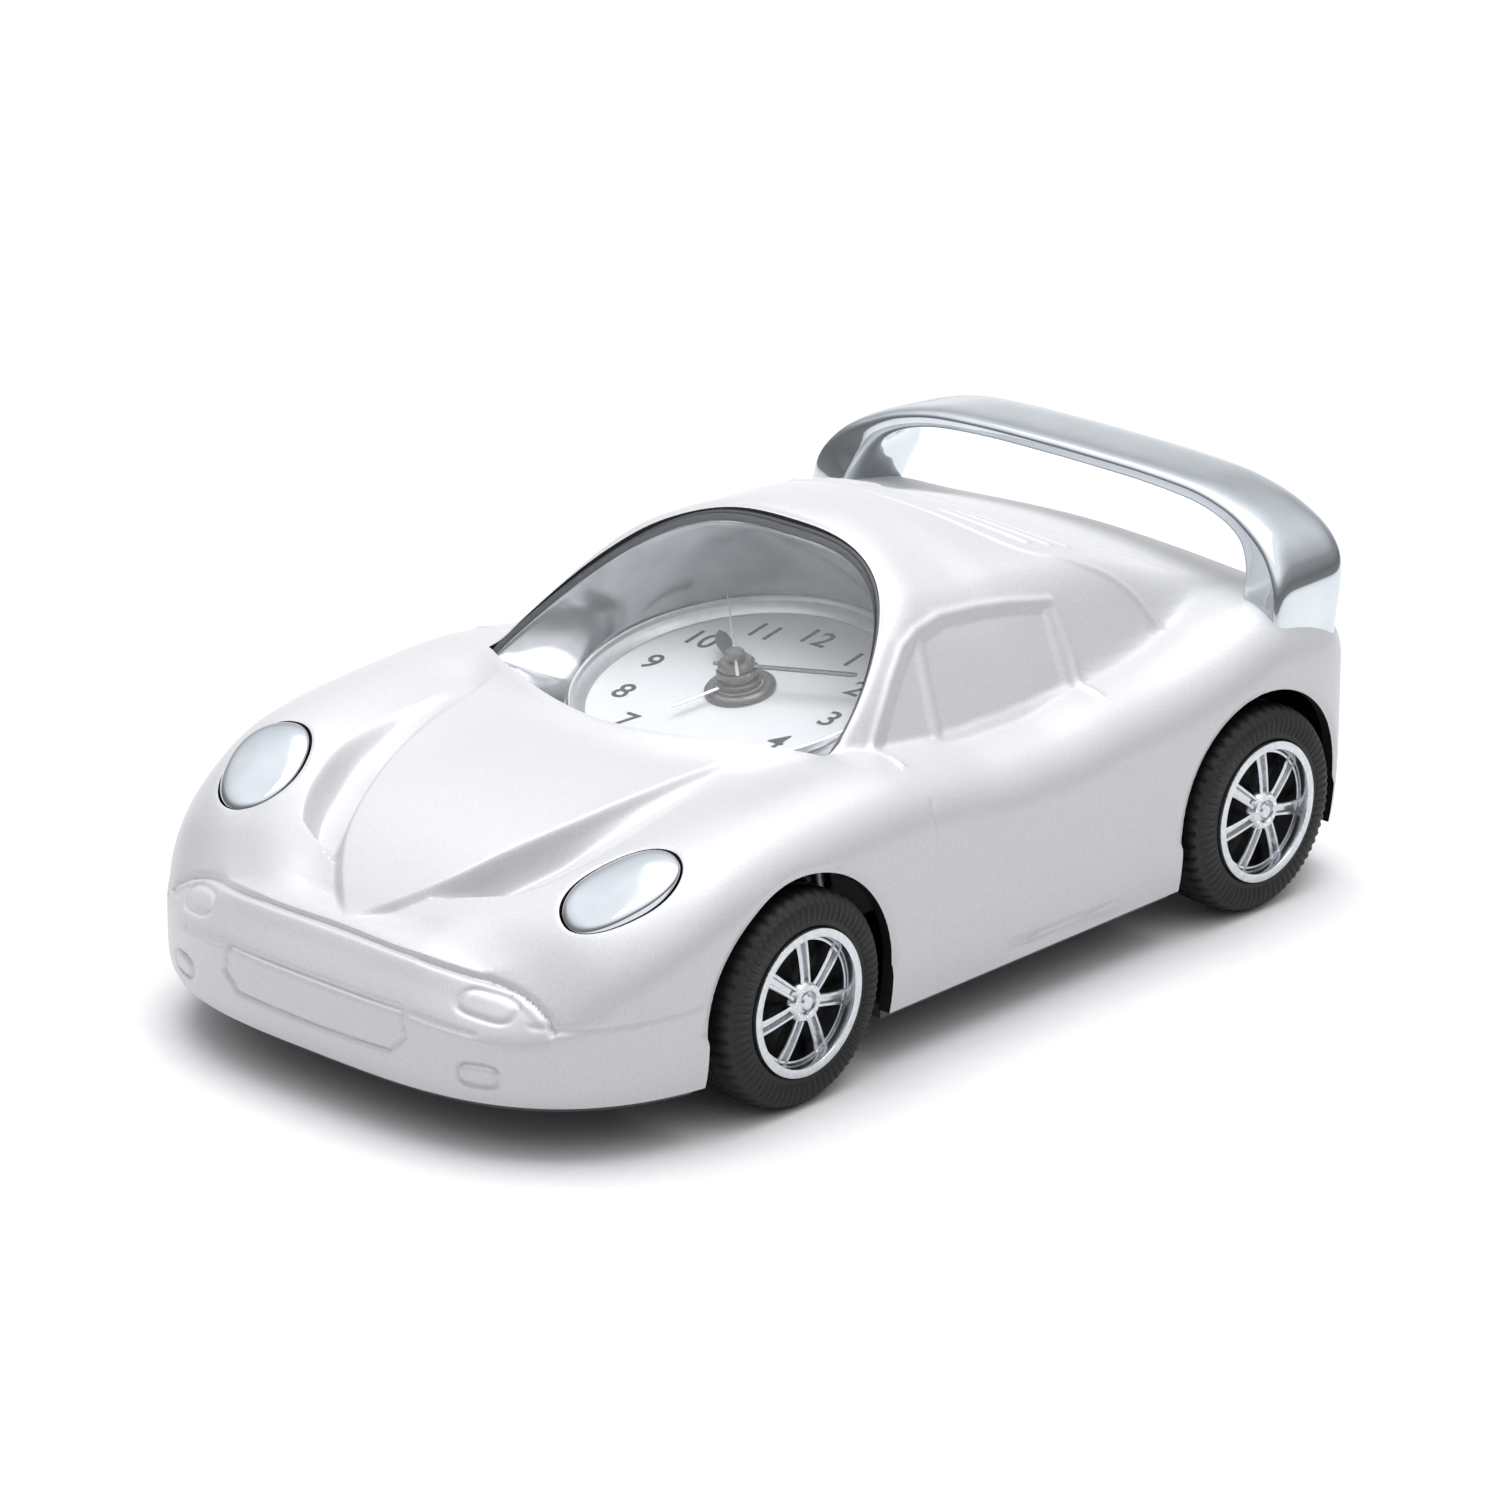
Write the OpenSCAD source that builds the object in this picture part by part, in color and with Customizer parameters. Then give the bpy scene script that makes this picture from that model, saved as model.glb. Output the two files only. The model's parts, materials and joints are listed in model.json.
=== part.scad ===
// Toy sports car with a quartz alarm clock under its windscreen and a pull-back motor on its rear axle.
// Millimetres. +Z up, front of the car towards -Y, +X is the car's left side.
// The origin is on the ground, under the middle of the overall box.

/* [Body] */
// Length over bumpers
body_len = 142.4; // [140:0.2:146]
// Width over the flanks
body_wid = 82.3; // [81.5:0.1:83]
// Height of the body's lower edge above the ground
sill_z = 6.8; // [6:0.1:7.5]
// Wall thickness of the body shell
wall = 1.8; // [1.4:0.1:2]

/* [Wheels] */
// Outer radius of the tyres
tyre_r = 13.1; // [12.5:0.1:13.5]
// Outer radius of the rims
rim_r = 9; // [8.5:0.1:9.5]
// Width of a tyre
tyre_w = 9; // [8:0.5:10]
// Width over the outer faces of the wheels
track_w = 83.5; // [83:0.1:84]
// Position of the front axle along the car
front_y = -32.2; // [-33:0.1:-31]
// Position of the rear axle along the car
rear_y = 50.4; // [49.5:0.1:51]
// Radius of the axle pins
axle_r = 1.5; // [1.2:0.1:1.6]

/* [Clock] */
// Radius of the printed dial
dial_r = 19.6; // [18.5:0.1:20]
// Tilt of the dial towards the front
dial_tilt = 11.2; // [10:0.1:12]
// Direction of the minute hand, clockwise from twelve
minute_deg = 70.5; // [0:0.5:360]
// Direction of the second hand, clockwise from twelve
second_deg = 314; // [0:1:360]
// Direction of the alarm hand, clockwise from twelve
alarm_deg = 198; // [0:1:360]

/* [Hidden] */
$fn = 48;
eps = 0.01;

silver = "#d9d9e0";
bright = "#c9d2d8";
dark = "#2a2b2d";

// ---- body form -------------------------------------------------------------------------------------
// The form is a height over the ground plan. Each list below is [place along Y, value].
half_len = body_len / 2;
half_wid = body_wid / 2;
nose_y = -37.15;      // where the rounded nose plan begins
tail_y = 45;          // where the tail's rounded corners begin
bonnet_line = [[-71.2, 19.8], [-65, 22.2], [-61, 24.6], [-56, 27.3], [-51, 29.4], [-43, 31.6], [-35, 33],
    [-26, 34], [-15, 34.6], [0, 34], [15, 33.5], [30, 33.5], [45, 34.5], [60, 36.2], [71.2, 35]];
fender_line = [[-64, 19.2], [-61.4, 21.5], [-58, 24.9], [-51.5, 28.7], [-41.6, 32.5], [-28, 34.2],
    [-15, 34.8], [-5, 33.8], [5, 32.5], [14, 32.4], [24, 33.2], [34, 33.8], [44, 35.2], [50, 36.6],
    [55, 37.4], [62, 36.4], [71.2, 34]];
roof_line = [[-30, 60], [0, 55], [8, 53.2], [15, 52.6], [20, 52.2], [26, 50.8], [32, 48.8], [40, 45.7],
    [48, 42.8], [56, 40.2], [62, 38.4], [67, 36.8], [71.2, 35.6]];
cabin_half_width = [[-16, 28], [-8, 30.2], [0, 31.2], [15, 31.6], [30, 31.4], [45, 30.6], [55, 29.5],
    [71, 28]];

function step01(a, b, v) = let (t = min(max((v - a) / (b - a), 0), 1)) t * t * (3 - 2 * t);
function soft_min(a, b, k) = let (h = min(max(0.5 + 0.5 * (b - a) / k, 0), 1))
    b * (1 - h) + a * h - k * h * (1 - h);
function soft_max(a, b, k) = -soft_min(-a, -b, k);

// Plan outline, t from 0 at the nose to 1 at the tail
function nose_plan(a) = [half_wid * pow(sin(a), 2 / 3.175),
    nose_y - (half_len + nose_y) * pow(cos(a), 2 / 2.446)];
function tail_plan(b) = [half_wid * pow(cos(b), 2 / 7.3), tail_y + (half_len - tail_y) * pow(sin(b), 2 / 7.3)];
function plan(t) = t < 0.42 ? nose_plan(90 * t / 0.42)
    : t < 0.66 ? [half_wid, nose_y + (tail_y - nose_y) * (t - 0.42) / 0.24]
    : tail_plan(min(90, 90 * (t - 0.66) / 0.34));
function nose_edge(x) = nose_y - (half_len + nose_y) * pow(max(0, 1 - pow(min(1, x / half_wid), 3.175)), 1 / 2.446);

function lower_z(x, y) = let (
    d = y - 0.6 * (nose_edge(min(x, 34)) + half_len) * step01(-20, -60, y),
    side = step01(12, 31, x))
    lookup(d, bonnet_line) * (1 - side) + lookup(y, fender_line) * side;
function lens_z(x, y) = 34.3 + 0.4985 * (y + 23.5) - 5.4 * pow(x / 28, 3);
function cabin_z(x, y) = let (
    roof = lookup(y, roof_line) - (0.0135 - 0.01 * step01(15, 42, y)) * x * x,
    side = 33 + (lookup(y, cabin_half_width) - x) * 1.55)
    soft_min(soft_min(roof, side, 3), lens_z(x, y) + 1, 2);
function body_z(x, y) = soft_max(lower_z(x, y), cabin_z(x, y), 1.2);

// One point of the skin: u round the plan (0 to 1 nose to tail), v from the sill to the spine.
// "inset" draws the inner face: it pulls the plan in and drops the height by the wall.
flank_rows = 2;
shoulder_rows = 4;
top_rows = 13;
half_steps = 36;
rows = flank_rows + shoulder_rows + top_rows + 1;
function plan_normal_x(t) = let (a = plan(max(0, t - 0.005)), b = plan(min(1, t + 0.005)), d = b - a)
    abs(d[1]) / norm(d);
function skin_point(t, row, inset) = let (
    edge = plan(t),
    spine = edge[1] * 0.62,
    span = norm([edge[0], edge[1] - spine]),
    dir = [-edge[0], spine - edge[1]] / span,
    k = plan_normal_x(t),
    round_in = 5 + 5 * k * k,
    round_down = 4.5 + 3 * k * k,
    angle = 90 * max(0, row - flank_rows) / shoulder_rows,
    reach = row <= flank_rows ? 0
        : row <= flank_rows + shoulder_rows ? round_in * (1 - cos(angle))
        : round_in + (span - round_in) * (row - flank_rows - shoulder_rows) / top_rows,
    at = edge + dir * (reach * (span - inset) / span + inset),
    top_edge = lower_z(edge[0], edge[1]) - round_down,
    z = row < flank_rows ? sill_z + (top_edge - sill_z) * row / flank_rows
        : body_z(at[0], at[1]) - (row <= flank_rows + shoulder_rows ? round_down * (1 - sin(angle)) : 0))
    [at[0], at[1], row == 0 && inset > 0 ? sill_z - 1 : z - inset * (row < flank_rows ? 0 : 1.1)];
function ring(row, inset) = concat(
    [for (i = [0:half_steps]) skin_point(i / half_steps, row, inset)],
    [for (i = [1:half_steps - 1]) let (p = skin_point(1 - i / half_steps, row, inset)) [-p[0], p[1], p[2]]]);

ring_count = 2 * half_steps;
module skin(inset) {
    last = rows - 1;
    points = concat([for (r = [0:last - 1]) each ring(r, inset)],
        [for (i = [0:half_steps]) let (p = skin_point(i / half_steps, last, inset)) [0, p[1], p[2]]]);
    base = last * ring_count;
    faces = concat(
        [for (r = [0:last - 2]) for (i = [0:ring_count - 1]) let (j = (i + 1) % ring_count)
            each [[r * ring_count + i, (r + 1) * ring_count + i, (r + 1) * ring_count + j],
                [r * ring_count + i, (r + 1) * ring_count + j, r * ring_count + j]]],
        [for (i = [0:ring_count - 1]) let (
            j = (i + 1) % ring_count, r = (last - 1) * ring_count,
            si = i <= half_steps ? i : ring_count - i, sj = j <= half_steps ? j : ring_count - j)
            each [[r + i, base + si, base + sj], [r + i, base + sj, r + j]]],
        [[for (i = [0:ring_count - 1]) i]]);
    polyhedron(points = points, faces = faces, convexity = 6);
}

// Windscreen outline: an arch over the cabin front and a bowed lower edge
screen_side = 27.6;
screen_low_y = -14.3;
screen_top_y = 9.6;
screen_steps = 20;
function screen_arch(a) = [screen_side * sign(cos(a)) * pow(abs(cos(a)), 2 / 3.2),
    screen_low_y + (screen_top_y - screen_low_y) * pow(abs(sin(a)), 2 / 1.5)];
function screen_bow(s) = [-screen_side * s, screen_low_y - 9.4 * (1 - s * s)];
function screen_outline(grow) = [for (p = concat(
        [for (i = [0:screen_steps]) let (t = 1 - 2 * i / screen_steps)
            screen_arch(90 - 90 * sign(t) * pow(abs(t), 1.6))],
        [for (i = [1:screen_steps - 1]) screen_bow(1 - 2 * i / screen_steps)]))
    let (c = [0, -5], d = p - c) c + d * (1 + grow / norm(d))];

arch_r = 15.2;
wing_foot_y = 60.5;
module arches(r) {
    for (s = [-1, 1], y = [front_y, rear_y])
        translate([s * 36, y, tyre_r]) rotate([0, 90, 0]) cylinder(r = r, h = 14, center = true);
    for (s = [-1, 1], y = [front_y, rear_y])
        translate([s * 36, y, 3]) cube([14, 2 * r, 2 * tyre_r - 6.01], center = true);
}

lamp_x = 29.2;
lamp_y = -50.1;
lamp_half = [5.1, 6.9];
lamp_turn = -28;
module lamp_plan(grow) {
    translate([lamp_x, lamp_y]) rotate(lamp_turn) scale([lamp_half[0] + grow, lamp_half[1] + grow]) circle(r = 1, $fn = 32);
}

module body_shell() {
    color(silver) resize([body_wid, body_len, 0]) union() {
        difference() {
            skin(0);
            skin(wall);
            arches(arch_r);
            translate([0, 0, 20]) linear_extrude(50) polygon(screen_outline(0));
            for (s = [0, 1]) mirror([s, 0, 0]) translate([0, 0, 20]) linear_extrude(40) lamp_plan(0.2);
            for (s = [-1, 1]) translate([s * 36, wing_foot_y, 20]) cylinder(r = 1.1, h = 30, $fn = 16);
        }
        for (s = [-1, 1], y = [-56, 66]) translate([s * 18, y, 8]) difference() {
            cylinder(r = 3, h = body_z(18, y) - 12, $fn = 20);
            translate([0, 0, -eps]) cylinder(r = 1, h = 8, $fn = 16);
        }
    }
}

// ---- rear wing -------------------------------------------------------------------------------------
// Stations over the span: [x, front edge y, rear edge y, underside z, top z]
wing_half = [[0, 59.5, 70.4, 46.2, 49.2], [14, 59.4, 70.4, 46, 49], [24, 59, 70.4, 44.8, 48.2],
    [29.5, 58, 70.4, 42.4, 46.9], [33, 56.4, 70.3, 38.4, 45.2], [36, 55.6, 69.9, 36.9, 43],
    [38.6, 55.4, 69.2, 35.6, 40], [40, 56, 68.4, 34.9, 36.8]];
function wing_station(s) = concat([for (i = [len(s) - 1:-1:1]) [-s[i][0], s[i][1], s[i][2], s[i][3], s[i][4]]], s);
function wing_ring(w) = [[w[0], w[1], w[3]], [w[0], w[1] + 1.5, w[4]], [w[0], w[2] - 3, w[4]],
    [w[0], w[2], w[4] - 1.2], [w[0], w[2] - 0.6, w[3]]];
module rear_wing() {
    stations = wing_station(wing_half);
    sides = 5;
    count = len(stations);
    points = [for (w = stations) each wing_ring(w)];
    faces = concat(
        [for (r = [0:count - 2]) for (i = [0:sides - 1]) let (j = (i + 1) % sides)
            each [[r * sides + i, (r + 1) * sides + i, (r + 1) * sides + j],
                [r * sides + i, (r + 1) * sides + j, r * sides + j]]],
        [[for (i = [sides - 1:-1:0]) i]],
        [[for (i = [0:sides - 1]) (count - 1) * sides + i]]);
    color(bright) resize([80, 0, 0]) difference() {
        union() {
            polyhedron(points = points, faces = faces, convexity = 6);
        }
        for (s = [-1, 1]) translate([s * 36, wing_foot_y, 30]) cylinder(r = 0.9, h = 9, $fn = 16);
    }
}

module wing_screws() {
    color(dark) for (s = [-1, 1]) translate([s * 36, wing_foot_y, 0]) {
        translate([0, 0, 29.8]) cylinder(r = 0.85, h = 8.8, $fn = 24);
        translate([0, 0, 29]) cylinder(r = 1.9, h = 1.4, $fn = 24);
    }
}

// ---- lamps, windscreen and dial surround -----------------------------------------------------------
module headlight() {
    steps = 32;
    levels = [-2.2, -0.5, 0.35];
    function rim(i, grow) = let (a = 360 * i / steps, p = [(lamp_half[0] + grow) * cos(a), (lamp_half[1] + grow) * sin(a)])
        [lamp_x + p[0] * cos(lamp_turn) - p[1] * sin(lamp_turn), lamp_y + p[0] * sin(lamp_turn) + p[1] * cos(lamp_turn)];
    points = concat(
        [for (l = levels) for (i = [0:steps - 1]) let (p = rim(i, l > 0 ? -0.8 : 0))
            [p[0], p[1], body_z(p[0], p[1]) + l]],
        [[lamp_x, lamp_y, body_z(lamp_x, lamp_y) + 0.6]], [[lamp_x, lamp_y, body_z(lamp_x, lamp_y) - 2.4]]);
    top = 3 * steps;
    faces = concat(
        [for (r = [0:1]) for (i = [0:steps - 1]) let (j = (i + 1) % steps)
            each [[r * steps + i, (r + 1) * steps + i, (r + 1) * steps + j],
                [r * steps + i, (r + 1) * steps + j, r * steps + j]]],
        [for (i = [0:steps - 1]) [2 * steps + i, top, 2 * steps + (i + 1) % steps]],
        [for (i = [0:steps - 1]) [(i + 1) % steps, top + 1, i]]);
    polyhedron(points = points, faces = faces, convexity = 4);
}
module headlight_left() { color(bright) headlight(); }
module headlight_right() { color(bright) mirror([1, 0, 0]) headlight(); }

// A ring-shaped solid from a list of closed loops of equal length, joined in turn
function loop_faces(loops, count) = [for (r = [0:loops - 1]) for (i = [0:count - 1])
    let (j = (i + 1) % count, n = (r + 1) % loops)
    each [[r * count + i, n * count + i, n * count + j], [r * count + i, n * count + j, r * count + j]]];
function on_lens(p, drop) = [p[0], p[1], lens_z(abs(p[0]), p[1]) - drop];
screen_count = len(screen_outline(0));

module windscreen() {
    levels = [0, 0.35, 0.7, 1];
    function lens_ring(k, drop) = [for (p = screen_outline(-0.9)) on_lens([p[0] * k, -5 + (p[1] + 5) * k], drop)];
    points = concat(
        [for (k = [1, 0.7, 0.35]) each lens_ring(k, -0.1)], [on_lens([0, -5], -0.1)],
        [for (k = [0.35, 0.7, 1]) each lens_ring(k, 1)], [on_lens([0, -5], 1)]);
    n = screen_count;
    lower = 3 * n + 1;
    function band(a, b) = [for (i = [0:n - 1]) let (j = (i + 1) % n) each [[a + i, b + i, b + j], [a + i, b + j, a + j]]];
    faces = concat(band(0, n), band(n, 2 * n), [for (i = [0:n - 1]) [2 * n + i, 3 * n, 2 * n + (i + 1) % n]],
        band(lower + 2 * n, 0), band(lower + n, lower + 2 * n), band(lower, lower + n),
        [for (i = [0:n - 1]) [lower + (i + 1) % n, lower + 3 * n, lower + i]]);
    color([0.85, 0.93, 0.95, 0.35]) polyhedron(points = [for (p = points) p],
        faces = [for (f = faces) [f[2], f[1], f[0]]], convexity = 4);
}
module windscreen_gasket() {
    loops = [for (k = [[-0.1, -0.4], [-0.75, -0.4], [-0.75, 1.1], [-0.1, 1.1]])
        [for (p = screen_outline(k[0])) on_lens(p, k[1])]];
    color(dark) polyhedron(points = [for (l = loops) each l],
        faces = [for (f = loop_faces(4, screen_count)) [f[2], f[1], f[0]]], convexity = 6);
}

dial_at = [0, 0.8, 31.9];
module on_dial() translate(dial_at) rotate([dial_tilt, 0, 0]) children();
function dial_to_car(p) = dial_at + [p[0], p[1] * cos(dial_tilt) - p[2] * sin(dial_tilt),
    p[1] * sin(dial_tilt) + p[2] * cos(dial_tilt)];
bezel_r = dial_r + 1.2;

module dial_surround() {
    outline = screen_outline(0);
    function low(p, r, h) = let (d = p - [0, -5], u = d / norm(d)) dial_to_car([u[0] * r, u[1] * r, h]);
    function high(p, grow, drop) = let (d = p - [0, -5], u = d / norm(d), q = p + u * grow) on_lens(q, drop);
    loops = [
        [for (p = outline) low(p, bezel_r + 0.7, 2.4)],
        [for (p = outline) let (a = low(p, bezel_r + 0.85, 2.6), b = high(p, -1, 1.5)) (a + b) / 2],
        [for (p = outline) high(p, -1, 1.5)],
        [for (p = outline) high(p, -0.1, 1.9)],
        [for (p = outline) let (a = low(p, bezel_r + 1.85, 2), b = high(p, -0.1, 1.5)) (a + b) / 2],
        [for (p = outline) low(p, bezel_r + 1.7, -0.3)],
        [for (p = outline) low(p, bezel_r + 0.7, -0.3)]];
    color(bright) polyhedron(points = [for (l = loops) each l],
        faces = [for (f = loop_faces(7, screen_count)) [f[2], f[1], f[0]]], convexity = 6);
}
module dial_bezel() {
    color(bright) on_dial() rotate_extrude($fn = 96)
        polygon([[dial_r + 0.15, -0.8], [bezel_r, -0.8], [bezel_r, 1.1], [bezel_r - 0.5, 1.6], [dial_r - 0.4, 0.5],
            [dial_r - 0.4, 0.08], [dial_r + 0.15, 0.08]]);
}
module dial() {
    color("white") on_dial() translate([0, 0, -0.7]) difference() {
        cylinder(r = dial_r, h = 0.7, $fn = 96);
        translate([0, 0, -eps]) cylinder(r = 3, h = 1);
    }
}
module dial_nut() {
    color(bright) on_dial() difference() {
        cylinder(r = 4, h = 0.8);
        translate([0, 0, -eps]) cylinder(r = 2.95, h = 1);
    }
}

// ---- hands and the concentric arbors ---------------------------------------------------------------
second_arbor_r = 0.5;
minute_tube = [0.6, 0.95];
hour_tube = [1.05, 1.45];
alarm_tube = [1.55, 1.95];
post_tube = [2.05, 2.9];
module tube(r, low, high) translate([0, 0, low]) difference() {
    cylinder(r = r[1], h = high - low);
    translate([0, 0, -eps]) cylinder(r = r[0], h = high - low + 2 * eps);
}
// A flat tapered hand, pointing clockwise from twelve
module hand(deg, length, tail, wide, thick, low, hub, bore) {
    rotate([0, 0, -deg]) translate([0, 0, low]) linear_extrude(thick) difference() {
        union() {
            polygon([[-wide / 2, -tail], [wide / 2, -tail], [wide / 2, length * 0.6], [0.12, length],
                [-0.12, length], [-wide / 2, length * 0.6]]);
            circle(r = hub);
        }
        circle(r = bore);
    }
}
module alarm_hand() { color("dimgray") on_dial() hand(alarm_deg, 9.5, 0, 0.6, 0.3, 1.2, 2.6, alarm_tube[1] + 0.01); }
module hour_hand() { color("dimgray") on_dial() hand(300 + minute_deg / 12, 11.4, 2.4, 1.3, 0.3, 2.1, 2.2, hour_tube[1] + 0.01); }
module minute_hand() { color("dimgray") on_dial() hand(minute_deg, 15.7, 3, 1.1, 0.3, 3.1, 1.7, minute_tube[1] + 0.01); }
module second_hand() {
    color("dimgray") on_dial() {
        hand(second_deg, 16.3, 5, 0.4, 0.25, 4.3, 1.2, second_arbor_r + 0.01);
        translate([0, 0, 4.56]) cylinder(r = 1.1, h = 0.9);
    }
}

// ---- gears -----------------------------------------------------------------------------------------
// Slim teeth leave backlash, so a pair in mesh never binds.
function tooth_points(n, m) = let (r = n * m / 2, root = r - 1.05 * m, tip = r + 0.72 * m, p = 360 / n)
    [for (i = [0:n - 1]) for (c = [[root, -0.2], [tip, -0.08], [tip, 0.08], [root, 0.2]])
        let (a = p * (i + c[1])) [c[0] * cos(a), c[0] * sin(a)]];
module gear(n, m, low, thick, bore, turn = 0) {
    translate([0, 0, low]) linear_extrude(thick) difference() {
        rotate(turn) polygon(tooth_points(n, m));
        circle(r = bore);
    }
}
// Turn of the second gear of a pair, so that a gap faces the first gear's tooth
function mesh_turn(turn_a, n_a, toward, n_b) = toward + 180 - ((turn_a - toward) * n_a / 360 + 0.5) * 360 / n_b;

// Axes of the train on the movement plate: [x, y] and the directions between them
function polar(r, a) = [r * cos(a), r * sin(a)];
third_dir = -60;
third_at = polar(8.5, third_dir);
middle_dir = 60;
middle_at = polar(7.2, middle_dir);
rotor_at = middle_at + polar(7, middle_dir);
motion_dir = 200;
motion_at = polar(8.4, motion_dir);
time_dir = 230;
time_at = motion_at + polar(8.4, time_dir);
alarm_dir = 150;
alarm_at = polar(10, alarm_dir);
motion_m = 8.4 * 2 / 45;
third_m = 8.5 * 2 / 72;

module second_wheel() {
    color("goldenrod") on_dial() {
        translate([0, 0, -9.8]) cylinder(r = second_arbor_r, h = 14.3);
        gear(8, 0.25, -8.2, 1, second_arbor_r - 0.02);
        gear(40, 0.3, -9.4, 0.6, second_arbor_r - 0.02);
    }
}
module third_wheel() {
    color("goldenrod") on_dial() translate([third_at[0], third_at[1], 0]) {
        translate([0, 0, -8.6]) cylinder(r = 0.4, h = 3.9);
        gear(60, 0.25, -8, 0.6, 0.38, mesh_turn(0, 8, third_dir, 60));
        gear(8, third_m, -6.4, 1, 0.38);
    }
}
module centre_wheel() {
    color("goldenrod") on_dial()
        gear(64, third_m, -6.2, 0.6, minute_tube[1] + 0.06, mesh_turn(0, 8, third_dir + 180, 64));
}
module intermediate_wheel() {
    color("goldenrod") on_dial() translate([middle_at[0], middle_at[1], 0]) {
        translate([0, 0, -11]) cylinder(r = 0.4, h = 2.8);
        gear(8, 0.3, -9.6, 1, 0.38, mesh_turn(0, 40, middle_dir, 8));
        gear(48, 0.25, -10.6, 0.6, 0.38);
    }
}
module rotor() {
    color("slategray") on_dial() translate([rotor_at[0], rotor_at[1], 0]) {
        gear(8, 0.25, -10.8, 1, 0.3, mesh_turn(0, 48, middle_dir, 8));
        translate([0, 0, -12.4]) difference() {
            cylinder(r = 2.4, h = 1.5);
            translate([0, 0, -eps]) cylinder(r = 0.3, h = 2);
        }
        translate([0, 0, -12.7]) cylinder(r = 0.32, h = 3.2);
    }
}
module cannon_pinion() {
    color("goldenrod") on_dial() {
        tube(minute_tube, -6.6, 4);
        gear(12, 0.35, -4.8, 1, minute_tube[1] - 0.02);
    }
}
module motion_wheel() {
    color("goldenrod") on_dial() translate([motion_at[0], motion_at[1], 0]) {
        translate([0, 0, -5.2]) cylinder(r = 0.4, h = 2.58);
        gear(36, 0.35, -4.6, 0.6, 0.38, mesh_turn(0, 12, motion_dir, 36));
        gear(9, motion_m, -3.6, 1, 0.38);
    }
}
module hour_wheel() {
    color("goldenrod") on_dial() {
        tube(hour_tube, -3.5, 3);
        gear(36, motion_m, -3.4, 0.6, hour_tube[1] - 0.02, mesh_turn(0, 9, motion_dir + 180, 36));
    }
}
module alarm_wheel() {
    color("goldenrod") on_dial() {
        tube(alarm_tube, -2.6, 1.9);
        gear(40, 0.4, -2.5, 0.5, alarm_tube[1] - 0.02);
    }
}
// A set shaft with its pinion, reaching down to its knob
shaft_low = -17.6;
module set_shaft(at, n, m, low, thick, turn) {
    color("ivory") on_dial() translate([at[0], at[1], 0]) {
        translate([0, 0, shaft_low]) cylinder(r = 0.8, h = low + thick - shaft_low + 0.1);
        gear(n, m, low, thick, 0.78, turn);
    }
}
module time_set_shaft() set_shaft(time_at, 12, 0.35, -4.6, 0.6, mesh_turn(mesh_turn(0, 12, motion_dir, 36), 36, time_dir, 12));
module alarm_set_shaft() set_shaft(alarm_at, 10, 0.4, -2.5, 0.5, mesh_turn(0, 40, alarm_dir, 10));
module set_knob(at) {
    color("ivory") on_dial() translate([at[0], at[1], shaft_low - 0.6]) difference() {
        linear_extrude(3) polygon([for (i = [0:47]) let (r = 3.5 + (i % 2 == 0 ? 0.3 : 0)) polar(r, i * 7.5)]);
        translate([0, 0, 0.6]) cylinder(r = 0.81, h = 3);
    }
}
module time_set_knob() set_knob(time_at);
module alarm_set_knob() set_knob(alarm_at);

// ---- movement --------------------------------------------------------------------------------------
case_w = 44;
case_top = -1.1;
case_split = -6.9;
case_low = -14;
switch_at = [8, -17];
module box_at(w, d, low, high) translate([-w / 2, -d / 2, low]) cube([w, d, high - low]);
module movement_cover() {
    color("whitesmoke") on_dial() {
        difference() {
            box_at(case_w, case_w, case_split + 0.3, case_top);
            box_at(case_w - 2.4, case_w - 2.4, case_split, case_top - 0.8);
            translate([0, 0, -2.5]) cylinder(r = post_tube[0], h = 3);
        }
        tube([post_tube[0], post_tube[1]], case_top - 0.2, 0.85);
    }
}
module movement_plate() {
    color("ivory") on_dial() difference() {
        box_at(case_w - 2.8, case_w - 2.8, -7.2, -6.75);
        translate([0, 0, -8]) cylinder(r = 1.05, h = 2);
        for (p = [[third_at, 0.48], [time_at, 0.88], [alarm_at, 0.88]])
            translate([p[0][0], p[0][1], -8]) cylinder(r = p[1], h = 2);
    }
}
module movement_case() {
    color("whitesmoke") on_dial() difference() {
        box_at(case_w, case_w, case_low, case_split);
        box_at(case_w - 2.4, case_w - 2.4, case_low + 1.1, case_split + 1);
        for (p = [time_at, alarm_at]) translate([p[0], p[1], case_low - 1]) cylinder(r = 0.88, h = 3);
        translate([switch_at[0] - 4.4, switch_at[1] - 1.3, case_low - 1]) cube([8.8, 2.6, 3]);
    }
}
module movement_screws() {
    color(bright) on_dial() for (sx = [-1, 1], sy = [-1, 1]) translate([sx * 24.2, sy * 15, case_low + 1.5])
        difference() {
            cylinder(r = 1.5, h = 9);
            translate([0, 0, -eps]) cylinder(r = 0.5, h = 0.5, $fn = 6);
        }
}
module stator() {
    color("silver") on_dial() difference() {
        translate([-3.2, 8.6, -12.6]) cube([17.4, 7.4, 0.6]);
        translate([rotor_at[0], rotor_at[1], -13]) cylinder(r = 2.9, h = 2);
    }
}
module coil() {
    color("peru") on_dial() translate([5.5, 18.2, -10.3]) rotate([0, 90, 0]) difference() {
        cylinder(r = 2.1, h = 15, center = true);
        cylinder(r = 0.6, h = 16, center = true);
    }
}
module circuit_board() {
    color("seagreen") on_dial() {
        translate([9, -6, -12.7]) cube([10, 11, 0.8]);
        translate([12, -3, -11.9]) cube([4, 4, 0.6]);
    }
}
module buzzer() { color("gold") on_dial() translate([-12, 13.6, -12.7]) cylinder(r = 5.6, h = 1.6); }
module alarm_switch() {
    color("ivory") on_dial() translate([switch_at[0] - 2, switch_at[1], 0]) {
        translate([-3.6, -2, case_low + 1.3]) cube([7.2, 3.6, 0.8]);
        translate([-1.2, -1, case_low - 2.6]) cube([2.4, 2, 4]);
    }
}

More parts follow.
